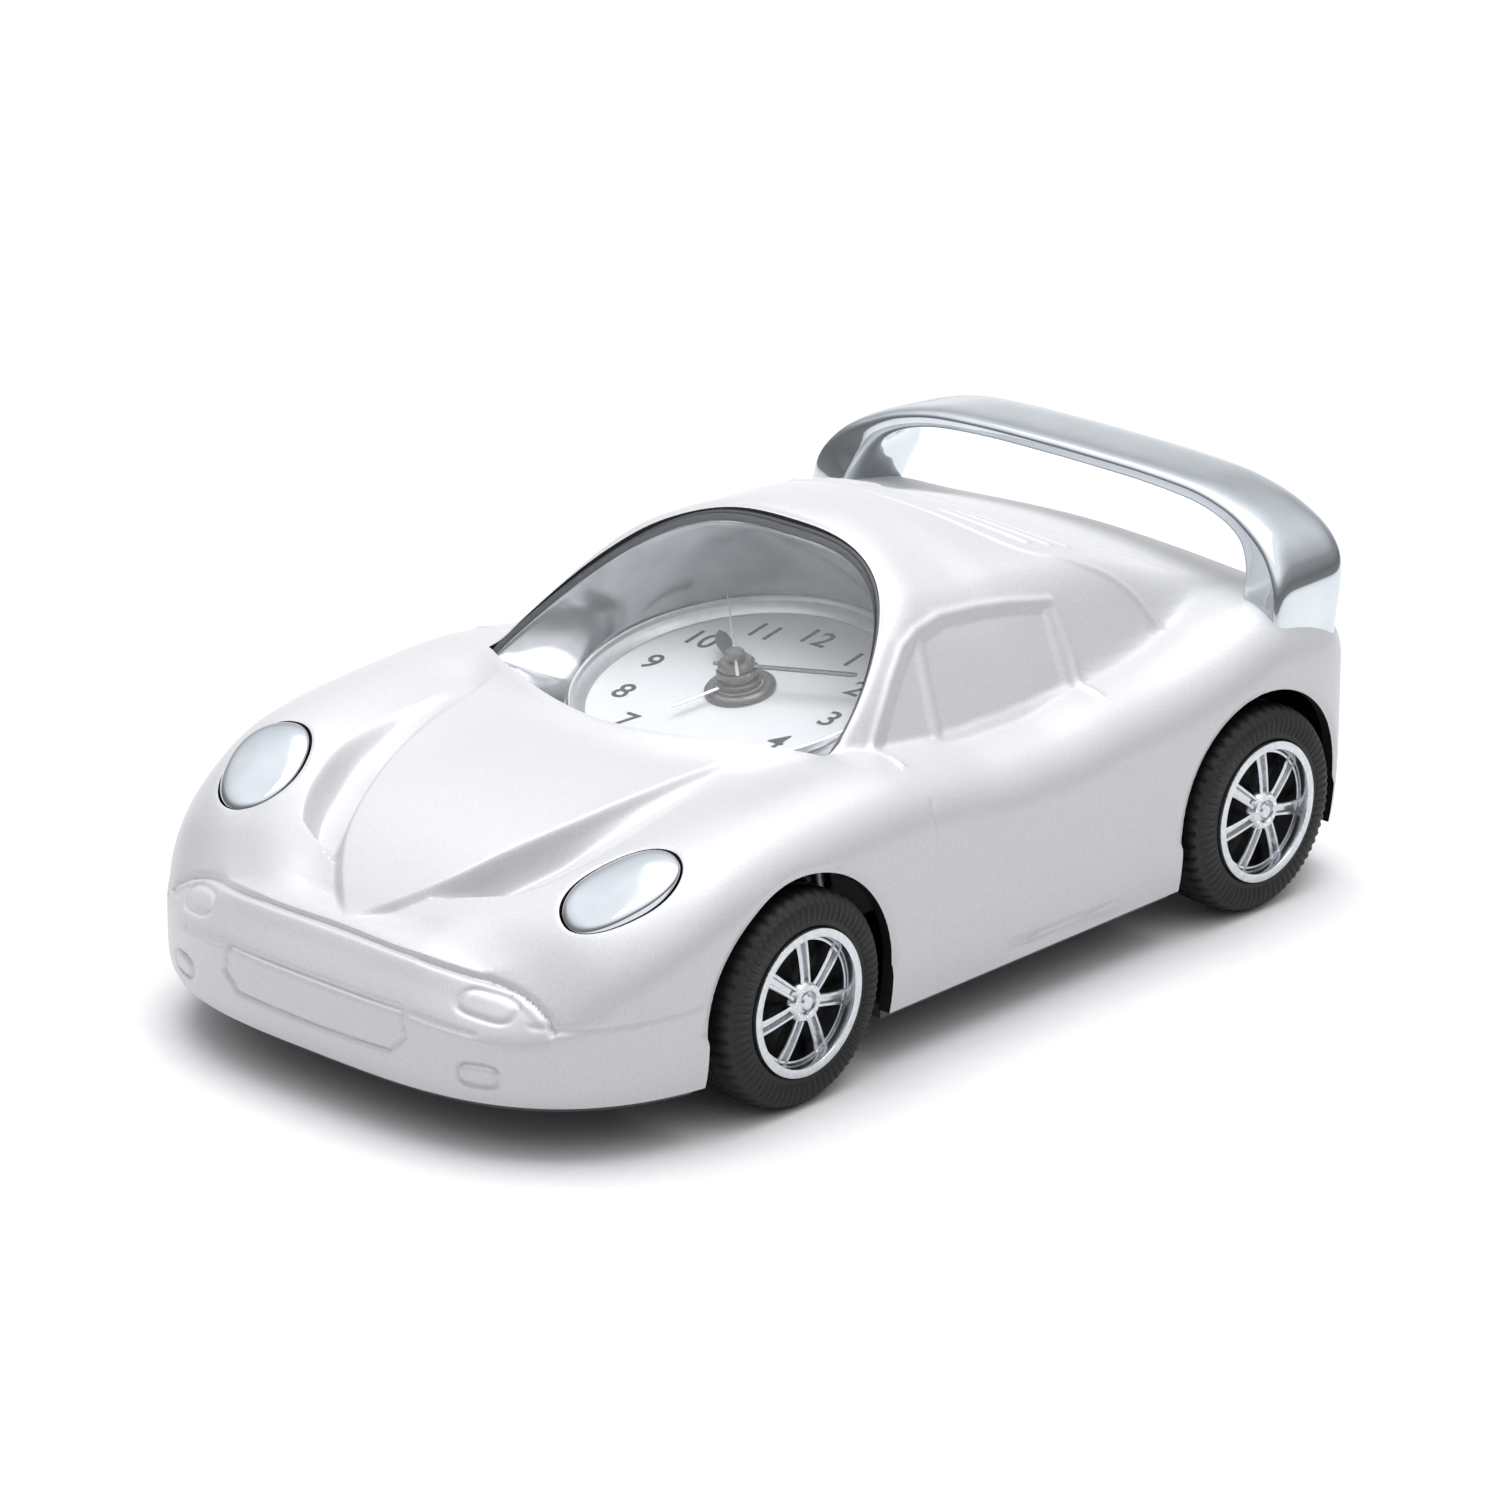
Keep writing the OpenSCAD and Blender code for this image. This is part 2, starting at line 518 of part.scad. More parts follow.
// ---- battery ---------------------------------------------------------------------------------------
cell_r = 7.1;
cell_at = [0, 30, 15.9];
module along_x(at) translate(at) rotate([0, 90, 0]) children();
module battery() {
    color("royalblue") along_x(cell_at) {
        cylinder(r = cell_r, h = 48.6, center = true);
        translate([0, 0, 24.2]) cylinder(r = 2.7, h = 1.2);
    }
}
module battery_contacts() {
    color(bright) {
        translate([26, 26.5, 10]) cube([0.5, 7, 11]);
        for (i = [0:3]) along_x([-25.1 - i * 0.75, 30, 15.9]) difference() {
            cylinder(r = 3.6 + 0.3 * i, h = 0.5, center = true);
            cylinder(r = 2.8 + 0.3 * i, h = 1, center = true);
        }
        translate([-28.4, 26.5, 10]) cube([0.7, 7, 11]);
    }
}

// ---- chassis ---------------------------------------------------------------------------------------
floor_z = 5.6;
floor_t = 1.8;
door_y = [22.4, 37.8];
door_w = 50;
door_t = 1.3;
module floor_plan(shrink) {
    polygon([for (i = [0:2 * half_steps - 1]) let (
        t = i <= half_steps ? i / half_steps : 2 - i / half_steps,
        p = plan(t), s = i <= half_steps ? 1 : -1, n = norm(p))
        [s * p[0] * (1 - shrink / half_wid), p[1] * (1 - shrink / half_len)]]);
}
module chassis() {
    color("#3a3c40") difference() {
        union() {
            translate([0, 0, floor_z]) linear_extrude(floor_t) floor_plan(wall + 0.6);
            for (s = [-1, 1], y = [front_y, rear_y]) translate([s * 27 - 2, y - 4, floor_z]) cube([4, 8, 11.4]);
            // cell cradle
            for (y = [21.2, 37.9]) translate([-29.4, y, floor_z]) cube([58.8, 1, 8]);
            for (x = [-30.4, 27.6]) translate([x, 21.2, floor_z]) cube([1.2, 17.7, 14]);
            // movement seat
            for (s = [-1, 1]) translate([s * 21 - 2, -19, floor_z]) cube([4, 6, 4.6]);
        }
        for (s = [-1, 1], y = [front_y, rear_y])
            translate([s * 38.2 - 7, y - arch_r - 0.2, 0]) cube([14, 2 * arch_r + 0.4, 20]);
        along_x([0, front_y, tyre_r]) cylinder(r = axle_r + 0.08, h = 80, center = true);
        along_x([0, rear_y, tyre_r]) cylinder(r = axle_r + 0.08, h = 80, center = true);
        translate([-18.5, -19, floor_z - 1]) cube([37, 37, floor_t + 2]);
        translate([-door_w / 2 - 0.3, door_y[0] - 0.3, floor_z - 1]) cube([door_w + 0.6, door_y[1] - door_y[0] + 0.6, floor_t + 2]);
        for (s = [-1, 1], y = [-56, 66]) translate([s * 18, y, floor_z - 1]) cylinder(r = 1.2, h = 4);
        for (s = [-1, 1], y = [-56, 66]) translate([s * 18, y, floor_z - eps]) cylinder(r = 2.2, h = 0.8);
    }
}
module battery_door() {
    color("#3a3c40") {
        difference() {
            union() {
                translate([-door_w / 2, door_y[0] + door_t / 2, floor_z])
                    cube([door_w, door_y[1] - door_y[0] - door_t / 2, door_t]);
                along_x([0, door_y[0] + door_t / 2, floor_z + door_t / 2]) cylinder(r = door_t / 2, h = door_w, center = true);
            }
            for (i = [0:3]) translate([-6, 31 + i * 1.2, floor_z - eps]) cube([12, 0.6, 0.4]);
        }
        for (s = [-1, 1]) translate([s * 16 - 1.5, door_y[1] - 1, floor_z + door_t - 0.1]) cube([3, 0.8, 1.6]);
    }
}
module chassis_screws() {
    color("silver") for (s = [-1, 1], y = [-56, 66]) translate([s * 18, y, floor_z]) difference() {
        union() {
            cylinder(r = 2, h = 0.75);
            cylinder(r = 0.95, h = 8);
        }
        translate([0, 0, -eps]) {
            translate([-1.4, -0.2, 0]) cube([2.8, 0.4, 0.4]);
            translate([-0.2, -1.4, 0]) cube([0.4, 2.8, 0.4]);
        }
    }
}

// ---- wheels and axles ------------------------------------------------------------------------------
hub_out = track_w / 2;
spokes = 7;
axle_h = 2 * (hub_out - 1.6);
module axle(y) color("silver") along_x([0, y, tyre_r]) cylinder(r = axle_r, h = axle_h, center = true);
module front_axle() axle(front_y);
module rear_axle() axle(rear_y);
// Wheel frame: the axis is Z, the outer face is at z = 0 and the wheel lies below it
module on_wheel(side, y) translate([side * hub_out, y, tyre_r]) rotate([0, side * 90, 0]) children();
module rim() {
    rotate_extrude($fn = 64) polygon([[rim_r - 1.5, 0], [rim_r, 0], [rim_r, -0.8], [rim_r - 1, -1.2], [rim_r - 1, -7.4],
        [rim_r, -7.8], [rim_r, -8.6], [rim_r - 1.9, -8.6], [rim_r - 1.9, -1]]);
    difference() {
        union() {
            translate([0, 0, -8]) cylinder(r = rim_r - 1.6, h = 1);
            translate([0, 0, -8]) cylinder(r = 2.4, h = 7.6);
        }
        translate([0, 0, -9]) cylinder(r = axle_r + 0.01, h = 7.4);
    }
    for (i = [0:spokes - 1]) rotate(i * 360 / spokes + 90) translate([1.6, 0, -1.8]) {
        translate([0, 0.2, 0]) cube([rim_r - 3.3, 0.55, 1.6]);
        translate([0, -0.75, 0]) cube([rim_r - 3.3, 0.55, 1.6]);
        translate([0, -0.3, 0]) cube([rim_r - 3.3, 0.6, 1.1]);
    }
}
module tyre() {
    w = tyre_w;
    rotate_extrude($fn = 96) polygon([[rim_r + 0.05, -0.5], [rim_r + 0.8, -0.15], [tyre_r - 1.4, -0.35], [tyre_r - 0.4, -1.1],
        [tyre_r, -2.2], [tyre_r, 2 - w], [tyre_r - 0.4, 1 - w], [tyre_r - 1.4, 0.3 - w], [rim_r + 0.05, 0.5 - w],
        [rim_r + 0.05, -7.7], [rim_r - 0.9, -7.1], [rim_r - 0.9, -1.5], [rim_r + 0.05, -0.9]]);
}
module rim_front_left() { color(bright) on_wheel(1, front_y) rim(); }
module rim_front_right() { color(bright) on_wheel(-1, front_y) rim(); }
module rim_rear_left() { color(bright) on_wheel(1, rear_y) rim(); }
module rim_rear_right() { color(bright) on_wheel(-1, rear_y) rim(); }
module tyre_front_left() { color(dark) on_wheel(1, front_y) tyre(); }
module tyre_front_right() { color(dark) on_wheel(-1, front_y) tyre(); }
module tyre_rear_left() { color(dark) on_wheel(1, rear_y) tyre(); }
module tyre_rear_right() { color(dark) on_wheel(-1, rear_y) tyre(); }

// ---- pull-back motor -------------------------------------------------------------------------------
motor_m = 0.7;
pinion_n = 8;
spring_n = 20;
arbor_z = tyre_r + motor_m * (pinion_n + spring_n) / 2;
// The gears lie in planes across X; a turn of 0 puts a tooth upwards
module on_motor(z, x) translate([x, rear_y, z]) rotate([0, -90, 0]) rotate(0) children();
module axle_pinion() { color("ivory") on_motor(tyre_r, 0) gear(pinion_n, motor_m, -5, 3, axle_r + 0.01); }
module spring_gear() {
    color("ivory") on_motor(arbor_z, 0) {
        gear(spring_n, motor_m, -4.6, 2.2, 0.98, mesh_turn(0, pinion_n, 0, spring_n));
        translate([0, 0, -9.8]) cylinder(r = 1, h = 19.6);
    }
}
module mainspring() {
    turns = 5;
    steps = 150;
    function coil_r(i) = 1.6 + 4.9 * i / steps;
    color("steelblue") on_motor(arbor_z, 0) translate([0, 0, 0]) linear_extrude(5) polygon(concat(
        [for (i = [0:steps]) polar(coil_r(i), 360 * turns * i / steps)],
        [for (i = [steps:-1:0]) polar(coil_r(i) + 0.3, 360 * turns * i / steps)]));
}
motor_y = [41.4, 59.4];
motor_z = [7.6, 31.6];
motor_half = 11;
module motor_case_half(side) {
    color("#44474d") difference() {
        translate([side > 0 ? 0.05 : -motor_half, motor_y[0], motor_z[0]])
            cube([motor_half - 0.05, motor_y[1] - motor_y[0], motor_z[1] - motor_z[0]]);
        translate([side > 0 ? -1 : 1.2 - motor_half, motor_y[0] + 1, motor_z[0] + 1])
            cube([motor_half - 0.2, motor_y[1] - motor_y[0] - 2, motor_z[1] - motor_z[0] - 2]);
        along_x([0, rear_y, tyre_r]) cylinder(r = axle_r + 0.08, h = 60, center = true);
        along_x([0, rear_y, arbor_z]) cylinder(r = 1.08, h = 20.4, center = true);
    }
}
module motor_case_left() motor_case_half(1);
module motor_case_right() motor_case_half(-1);

body_shell();
rear_wing();
wing_screws();
headlight_left();
headlight_right();
windscreen();
windscreen_gasket();
dial_surround();
dial_bezel();
dial();
dial_nut();
hour_hand();
minute_hand();
second_hand();
alarm_hand();
movement_cover();
movement_case();
movement_plate();
movement_screws();
second_wheel();
third_wheel();
centre_wheel();
intermediate_wheel();
rotor();
stator();
coil();
circuit_board();
buzzer();
cannon_pinion();
motion_wheel();
hour_wheel();
alarm_wheel();
time_set_shaft();
time_set_knob();
alarm_set_shaft();
alarm_set_knob();
alarm_switch();
battery();
battery_contacts();
battery_door();
chassis();
chassis_screws();
front_axle();
rear_axle();
rim_front_left();
rim_front_right();
rim_rear_left();
rim_rear_right();
tyre_front_left();
tyre_front_right();
tyre_rear_left();
tyre_rear_right();
axle_pinion();
spring_gear();
mainspring();
motor_case_left();
motor_case_right();
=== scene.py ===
"""Pull back car with a desk clock under its windscreen.

Sizes are millimetres until a mesh is written. The front of the car looks towards -Y, +X is its left side and
the ground is z = 0. The clock's own pieces are drawn in the dial's frame: x to the right, y towards twelve
and z out of the dial.
"""
import json
import logging
import math
from dataclasses import dataclass, field
from enum import Enum
from typing import Any, Sequence

import bmesh
import bpy
import numpy as np
from mathutils import Matrix, Vector


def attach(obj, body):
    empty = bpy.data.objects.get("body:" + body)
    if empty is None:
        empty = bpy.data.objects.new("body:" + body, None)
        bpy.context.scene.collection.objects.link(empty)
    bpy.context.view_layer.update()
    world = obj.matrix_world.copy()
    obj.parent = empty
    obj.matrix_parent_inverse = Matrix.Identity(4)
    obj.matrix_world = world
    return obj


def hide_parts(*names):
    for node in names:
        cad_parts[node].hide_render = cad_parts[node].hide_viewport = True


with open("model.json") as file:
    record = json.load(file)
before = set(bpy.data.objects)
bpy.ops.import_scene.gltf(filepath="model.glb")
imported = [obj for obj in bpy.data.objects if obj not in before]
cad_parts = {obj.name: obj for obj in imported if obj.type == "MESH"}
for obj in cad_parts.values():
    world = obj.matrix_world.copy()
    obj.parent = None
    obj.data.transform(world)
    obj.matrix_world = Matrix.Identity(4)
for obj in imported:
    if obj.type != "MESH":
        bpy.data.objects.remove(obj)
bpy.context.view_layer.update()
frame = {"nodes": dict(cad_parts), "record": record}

LOG = logging.getLogger("toy_car")
MM = 0.001
SIDES = {"left": 1.0, "right": -1.0}


# ---- finishes --------------------------------------------------------------------------------------

def linear(code: str) -> tuple[float, float, float, float]:
    """Turns an sRGB hex colour into linear RGBA.

    Args:
        code: Six hex digits after a hash.
    Returns:
        The linear colour with an alpha of one.
    """
    parts = [int(code[i:i + 2], 16) / 255 for i in (1, 3, 5)]
    return tuple(p / 12.92 if p <= 0.04045 else ((p + 0.055) / 1.055) ** 2.4 for p in parts) + (1.0,)


def add_node(tree: bpy.types.NodeTree, kind: str, inputs: dict[Any, Any] | None = None,
             **settings: Any) -> bpy.types.Node:
    """Adds a node with its settings and links.

    Args:
        tree: The node tree.
        kind: The node's type name.
        inputs: Socket name or number to a constant, or to the output socket that feeds it.
        settings: Attributes of the node.
    Returns:
        The new node.
    """
    node = tree.nodes.new(kind)
    for name, value in settings.items():
        setattr(node, name, value)
    for socket, value in (inputs or {}).items():
        if isinstance(value, bpy.types.NodeSocket):
            tree.links.new(value, node.inputs[socket])
        else:
            node.inputs[socket].default_value = value
    return node


class Grain(Enum):
    """How the surface was made, which sets the shape of its fine pattern."""

    MOULDED = (1.0, 1.0, 1.0)
    TURNED = (0.12, 1.0, 1.0)
    ROLLED = (1.0, 0.08, 1.0)
    WOUND = (1.0, 0.04, 0.04)


@dataclass(frozen=True)
class Finish:
    """One real material with its surface.

    The base colour wanders between two shades on a noise of the grain size, the roughness wanders with a
    coarser noise, as handling and mould wear make it, and the fine noise also lifts the surface.
    """

    name: str
    light: str
    shade: str
    grain_mm: float
    roughness: float
    rough_spread: float = 0.06
    bump_mm: float = 0.004
    metallic: float = 0.0
    ior: float = 1.5
    coat: float = 0.0
    coat_roughness: float = 0.1
    alpha: float = 1.0
    grain: Grain = Grain.MOULDED
    wear_mm: float = 14.0

    def make(self) -> bpy.types.Material:
        """Builds the node material, once for each name.

        Returns:
            The material.
        """
        if self.name in bpy.data.materials:
            return bpy.data.materials[self.name]
        material = bpy.data.materials.new(self.name)
        material.use_nodes = True
        tree = material.node_tree
        tree.nodes.clear()
        place = add_node(tree, "ShaderNodeTexCoord").outputs["Object"]
        per_metre = 1 / (self.grain_mm * MM)
        fine_place = add_node(tree, "ShaderNodeMapping", {
            "Vector": place, "Scale": [per_metre * s for s in self.grain.value]})
        fine = add_node(tree, "ShaderNodeTexNoise", {
            "Vector": fine_place.outputs[0], "Scale": 1.0, "Detail": 3.0, "Roughness": 0.55})
        broad = add_node(tree, "ShaderNodeTexNoise", {
            "Vector": place, "Scale": 1 / (self.wear_mm * MM), "Detail": 2.0})
        colour = add_node(tree, "ShaderNodeValToRGB", {"Fac": fine.outputs["Fac"]})
        colour.color_ramp.elements[0].position = 0.3
        colour.color_ramp.elements[0].color = linear(self.shade)
        colour.color_ramp.elements[1].position = 0.7
        colour.color_ramp.elements[1].color = linear(self.light)
        rough = add_node(tree, "ShaderNodeMapRange", {
            "Value": broad.outputs["Fac"], "From Min": 0.3, "From Max": 0.7,
            "To Min": max(self.roughness - self.rough_spread, 0.01),
            "To Max": self.roughness + self.rough_spread})
        lift = add_node(tree, "ShaderNodeBump", {
            "Height": fine.outputs["Fac"], "Strength": 1.0, "Distance": self.bump_mm * MM})
        shader = add_node(tree, "ShaderNodeBsdfPrincipled", {
            "Base Color": colour.outputs["Color"], "Roughness": rough.outputs["Result"],
            "Normal": lift.outputs["Normal"], "Metallic": self.metallic, "IOR": self.ior,
            "Coat Weight": self.coat, "Coat Roughness": self.coat_roughness, "Alpha": self.alpha})
        add_node(tree, "ShaderNodeOutputMaterial", {"Surface": shader.outputs[0]})
        return material


# Satin silver lacquer over ABS: aluminium flake about 0.05 mm, drawn at 0.25 mm so that its sparkle shows.
SILVER_PAINT = Finish("silver_flake_lacquer_sprayed", "#c8c8ca", "#bdbdbf", 0.25, 0.42, 0.03, 0.002,
                      metallic=0.2, coat=0.12, coat_roughness=0.25)
# Bright nickel-chrome over ABS: mirror gloss with a faint waviness from the moulding beneath.
CHROME = Finish("chrome_plated_abs", "#d3d8dc", "#c8ced3", 6.0, 0.07, 0.02, 0.006, metallic=1.0)
# Vacuum-metallised wheel: as bright, with a slightly grainy plating that keeps the highlights broken.
WHEEL_CHROME = Finish("vacuum_metallised_abs", "#ced0d3", "#b9bcc0", 0.5, 0.2, 0.05, 0.01, metallic=1.0)
# Satin chrome of the bezel and the bowl: a softer sheen that spreads reflections.
SATIN_CHROME = Finish("satin_chrome_plated_abs", "#b9babd", "#abacb0", 3.0, 0.16, 0.04, 0.006, metallic=0.95)
# Bezel ring: pearl chrome, softer still, so that it stays paler than the bowl.
PEARL_CHROME = Finish("pearl_chrome_plated_abs", "#d3d5d7", "#c6c8cb", 1.0, 0.3, 0.04, 0.004, metallic=0.6)
# Clear acrylic lens: almost nothing but its gloss shows.
LENS = Finish("acrylic_lens_polished", "#f4f8fa", "#eef4f7", 8.0, 0.03, 0.01, 0.001, ior=1.49, alpha=0.05)
# Soft vinyl gasket, dark grey and dull.
GASKET = Finish("vinyl_gasket_extruded", "#4b4d52", "#3c3e43", 0.4, 0.42, 0.08, 0.006)
# Printed card dial: matt white with the faint mottle of coated paper.
DIAL_CARD = Finish("dial_card_printed", "#d2d3d6", "#cacbce", 0.6, 0.55, 0.05, 0.003)
# Screen-printed numerals, dense grey-black ink.
DIAL_INK = Finish("numeral_ink_printed", "#2b2c31", "#212227", 0.3, 0.5, 0.05, 0.003)
# Lacquered aluminium hands, mid grey with a thin brushed grain.
HAND_LACQUER = Finish("hand_aluminium_lacquered", "#515257", "#414247", 0.25, 0.34, 0.05, 0.004,
                      metallic=0.5, grain=Grain.ROLLED)
# Bare aluminium needle and alarm hand, pale and bright.
HAND_BARE = Finish("hand_aluminium_bare", "#dfe0e2", "#cfd0d3", 0.25, 0.3, 0.05, 0.003, metallic=0.7,
                   grain=Grain.ROLLED)
# Turned nut and bosses of the hand stack: grey metal with turning marks.
BOSS = Finish("boss_metal_turned", "#74726f", "#5d5b57", 0.3, 0.33, 0.08, 0.006, metallic=0.7,
              grain=Grain.TURNED)
# Moulded tyre rubber, black with a slight dusty bloom.
RUBBER = Finish("tyre_rubber_moulded", "#111112", "#080809", 0.35, 0.62, 0.08, 0.02, ior=1.52)
# Unpainted black ABS, dull. The frame's black parts are this plastic. Inside the shell, on the cut walls of
# its openings and in the well behind the spokes, it is painted shade: black put there so that the gaps look
# deep.
BLACK_ABS_AND_PAINTED_SHADE = Finish("black_abs_and_painted_shade", "#101012", "#08080a", 0.5, 0.6, 0.08, 0.008)
# Spark-eroded grey ABS of the floor pan: an even matt grain.
GREY_ABS = Finish("grey_abs_moulded", "#46484c", "#3a3c40", 0.5, 0.5, 0.08, 0.012)
# White ABS of the movement's case: warm white with a low sheen.
WHITE_ABS = Finish("white_abs_moulded", "#e6e5e0", "#dbdad4", 0.6, 0.45, 0.08, 0.008)
# Acetal of the wheels and knobs: creamy and slightly waxy.
IVORY_ACETAL = Finish("ivory_acetal_moulded", "#e8dfc6", "#dcd1b4", 0.5, 0.38, 0.06, 0.006, ior=1.48)
# Stamped brass, turned on its rim: yellow with fine rings.
BRASS = Finish("brass_stamped", "#d8b56a", "#c49f55", 0.25, 0.3, 0.08, 0.006, metallic=1.0,
               grain=Grain.TURNED)
# Bright drawn steel of axles and screws: clear reflections stretched round the bar.
STEEL = Finish("steel_drawn_bright", "#c9cbce", "#b4b6ba", 0.25, 0.28, 0.08, 0.005, metallic=1.0,
               grain=Grain.TURNED)
# Enamelled copper winding: each turn 0.12 mm, drawn at 0.3 mm so that the turns show.
COPPER = Finish("copper_wire_enamelled", "#c9793f", "#8f4c22", 0.3, 0.35, 0.06, 0.03, metallic=0.9, ior=1.5,
                grain=Grain.WOUND)
# Solder mask on the circuit board: green and glossy, with a faint texture.
SOLDER_MASK = Finish("circuit_board_solder_mask", "#2a6b41", "#205736", 0.5, 0.32, 0.06, 0.006)
# Heat-shrunk sleeve of the cell: smooth blue film.
CELL_WRAP = Finish("cell_sleeve_shrunk", "#2f4f86", "#274475", 4.0, 0.28, 0.05, 0.004)
# Matt paper sweep under the car.
FLOOR_PAPER = Finish("studio_paper_sweep", "#e6e6e6", "#e3e3e3", 3.0, 0.8, 0.02, 0.0)

SLOT_FINISH = {
    "silver_paint": SILVER_PAINT, "chrome_plate": CHROME, "clear_lens": LENS, "dial_print": DIAL_CARD,
    "hand_grey": HAND_LACQUER, "white_plastic": WHITE_ABS, "ivory_plastic": IVORY_ACETAL, "brass": BRASS,
    "steel": STEEL, "copper_wire": COPPER, "green_board": SOLDER_MASK, "tyre_rubber": RUBBER,
    "black_plastic": BLACK_ABS_AND_PAINTED_SHADE, "grey_plastic": GREY_ABS, "cell_wrap": CELL_WRAP}


# ---- numbers and meshes ----------------------------------------------------------------------------

def step01(low: Any, high: Any, value: Any) -> np.ndarray:
    """Smooth step: 0 below low, 1 above high and 3t^2 - 2t^3 between them."""
    t = np.clip((np.asarray(value, float) - low) / (high - low), 0, 1)
    return t * t * (3 - 2 * t)


def powered(value: np.ndarray, exponent: Any) -> np.ndarray:
    """A power that keeps the sign: sign(v) |v|^e."""
    return np.sign(value) * np.abs(value) ** exponent


def about_z(points: np.ndarray, angle: float) -> np.ndarray:
    """Turns points about z: (x cos a - y sin a, x sin a + y cos a, z)."""
    c, s = math.cos(angle), math.sin(angle)
    return points @ np.array([[c, -s, 0], [s, c, 0], [0, 0, 1]]).T


def soft_min(a: np.ndarray, b: np.ndarray, blend: float) -> np.ndarray:
    """The smaller of two heights, rounded over where they differ by less than the blend."""
    h = np.clip(0.5 + 0.5 * (b - a) / blend, 0, 1)
    return b * (1 - h) + a * h - blend * h * (1 - h)


def soft_max(a: np.ndarray, b: np.ndarray, blend: float) -> np.ndarray:
    """The larger of two heights, filleted over the blend."""
    return -soft_min(-a, -b, blend)


class Line:
    """A smooth line through stations, by cubic pieces whose slopes never overshoot."""

    def __init__(self, *stations: tuple[float, float]) -> None:
        """Works out the slope at each station as the harmonic mean of its neighbours' slopes.

        Args:
            stations: Pairs of place and height, in order.
        """
        self.at, self.value = np.array(stations, float).T
        gap, rise = np.diff(self.at), np.diff(self.value)
        grade = rise / gap
        slope = np.concatenate([grade[:1], np.zeros(len(grade) - 1), grade[-1:]])
        if len(grade) > 1:
            a, b = grade[:-1], grade[1:]
            w1, w2 = 2 * gap[1:] + gap[:-1], gap[1:] + 2 * gap[:-1]
            same = a * b > 0
            safe_a, safe_b = np.where(same, a, 1.0), np.where(same, b, 1.0)
            slope[1:-1] = np.where(same, (w1 + w2) / (w1 / safe_a + w2 / safe_b), 0.0)
        self.slope = slope

    def __call__(self, place: Any) -> np.ndarray:
        """The height of the line at each place, held level beyond its ends.

        Each piece is (1 + 2t)(1 - t)^2 a + t(1 - t)^2 g m + t^2 (3 - 2t) b + t^2 (t - 1) g n, for heights a
        and b, slopes m and n and the gap g.

        Args:
            place: Where to read the line.
        Returns:
            One height per place.
        """
        p = np.clip(np.asarray(place, float), self.at[0], self.at[-1])
        i = np.clip(np.searchsorted(self.at, p) - 1, 0, len(self.at) - 2)
        gap = self.at[i + 1] - self.at[i]
        t = (p - self.at[i]) / gap
        return ((1 + 2 * t) * (1 - t) ** 2 * self.value[i] + t * (1 - t) ** 2 * gap * self.slope[i]
                + t * t * (3 - 2 * t) * self.value[i + 1] + t * t * (t - 1) * gap * self.slope[i + 1])


def write_mesh(name: str, points: np.ndarray, faces: Sequence[np.ndarray], sharp_deg: float = 35.0,
               weld_mm: float = 1e-4, face_slots: Sequence[int] | None = None) -> bpy.types.Object:
    """Puts a closed surface into a mesh object, merges doubles and turns its faces outwards.

    Args:
        name: The piece's name.
        points: Places in millimetres, one row each.
        faces: Groups of faces, each an array with one row of corner numbers per face.
        sharp_deg: Edges that bend more than this stay crisp.
        weld_mm: Points closer than this become one, which closes poles and seams.
        face_slots: Material slot of each group of faces.
    Returns:
        The new object, linked to the scene.
    """
    mesh = bpy.data.meshes.new(name)
    corners = np.concatenate([f.ravel() for f in faces]).astype(np.int32)
    sizes = np.concatenate([np.full(len(f), f.shape[1]) for f in faces])
    mesh.vertices.add(len(points))
    mesh.vertices.foreach_set("co", (np.asarray(points) * MM).astype(np.float32).ravel())
    mesh.loops.add(len(corners))
    mesh.loops.foreach_set("vertex_index", corners)
    mesh.polygons.add(len(sizes))
    mesh.polygons.foreach_set("loop_start", np.concatenate([[0], np.cumsum(sizes)[:-1]]).astype(np.int32))
    if face_slots is not None:
        slots = np.concatenate([np.full(len(f), s) for f, s in zip(faces, face_slots)]).astype(np.int32)
        mesh.polygons.foreach_set("material_index", slots)
    mesh.update(calc_edges=True)
    work = bmesh.new()
    work.from_mesh(mesh)
    bmesh.ops.remove_doubles(work, verts=work.verts, dist=weld_mm * MM)
    bmesh.ops.dissolve_degenerate(work, edges=work.edges, dist=weld_mm * MM)
    bmesh.ops.delete(work, geom=[edge for edge in work.edges if not edge.link_faces], context="EDGES")
    bmesh.ops.recalc_face_normals(work, faces=work.faces)
    torn = sum(not edge.is_manifold for edge in work.edges)
    work.to_mesh(mesh)
    work.free()
    if torn:
        LOG.warning("%s has %d open edges", name, torn)
    shade(mesh, sharp_deg)
    piece = bpy.data.objects.new(name, mesh)
    bpy.context.scene.collection.objects.link(piece)
    return piece


def shade(mesh: bpy.types.Mesh, sharp_deg: float) -> None:
    """Shades a mesh smooth apart from its sharp edges.

    Args:
        mesh: The mesh.
        sharp_deg: Edges that bend more than this stay crisp.
    """
    mesh.polygons.foreach_set("use_smooth", np.ones(len(mesh.polygons), bool))
    mesh.set_sharp_from_angle(angle=math.radians(sharp_deg))
    mesh.update()


def tube_faces(rings: int, count: int, closed: bool = True) -> np.ndarray:
    """Quads of a surface whose rings of equal count follow one another.

    Args:
        rings: How many rings there are.
        count: Points in a ring, which always closes on itself.
        closed: Whether the last ring joins the first.
    Returns:
        One row of four corners per face.
    """
    r, i = np.meshgrid(np.arange(rings if closed else rings - 1), np.arange(count), indexing="ij")
    n, j = (r + 1) % rings, (i + 1) % count
    return np.stack([r * count + i, n * count + i, n * count + j, r * count + j], -1).reshape(-1, 4)


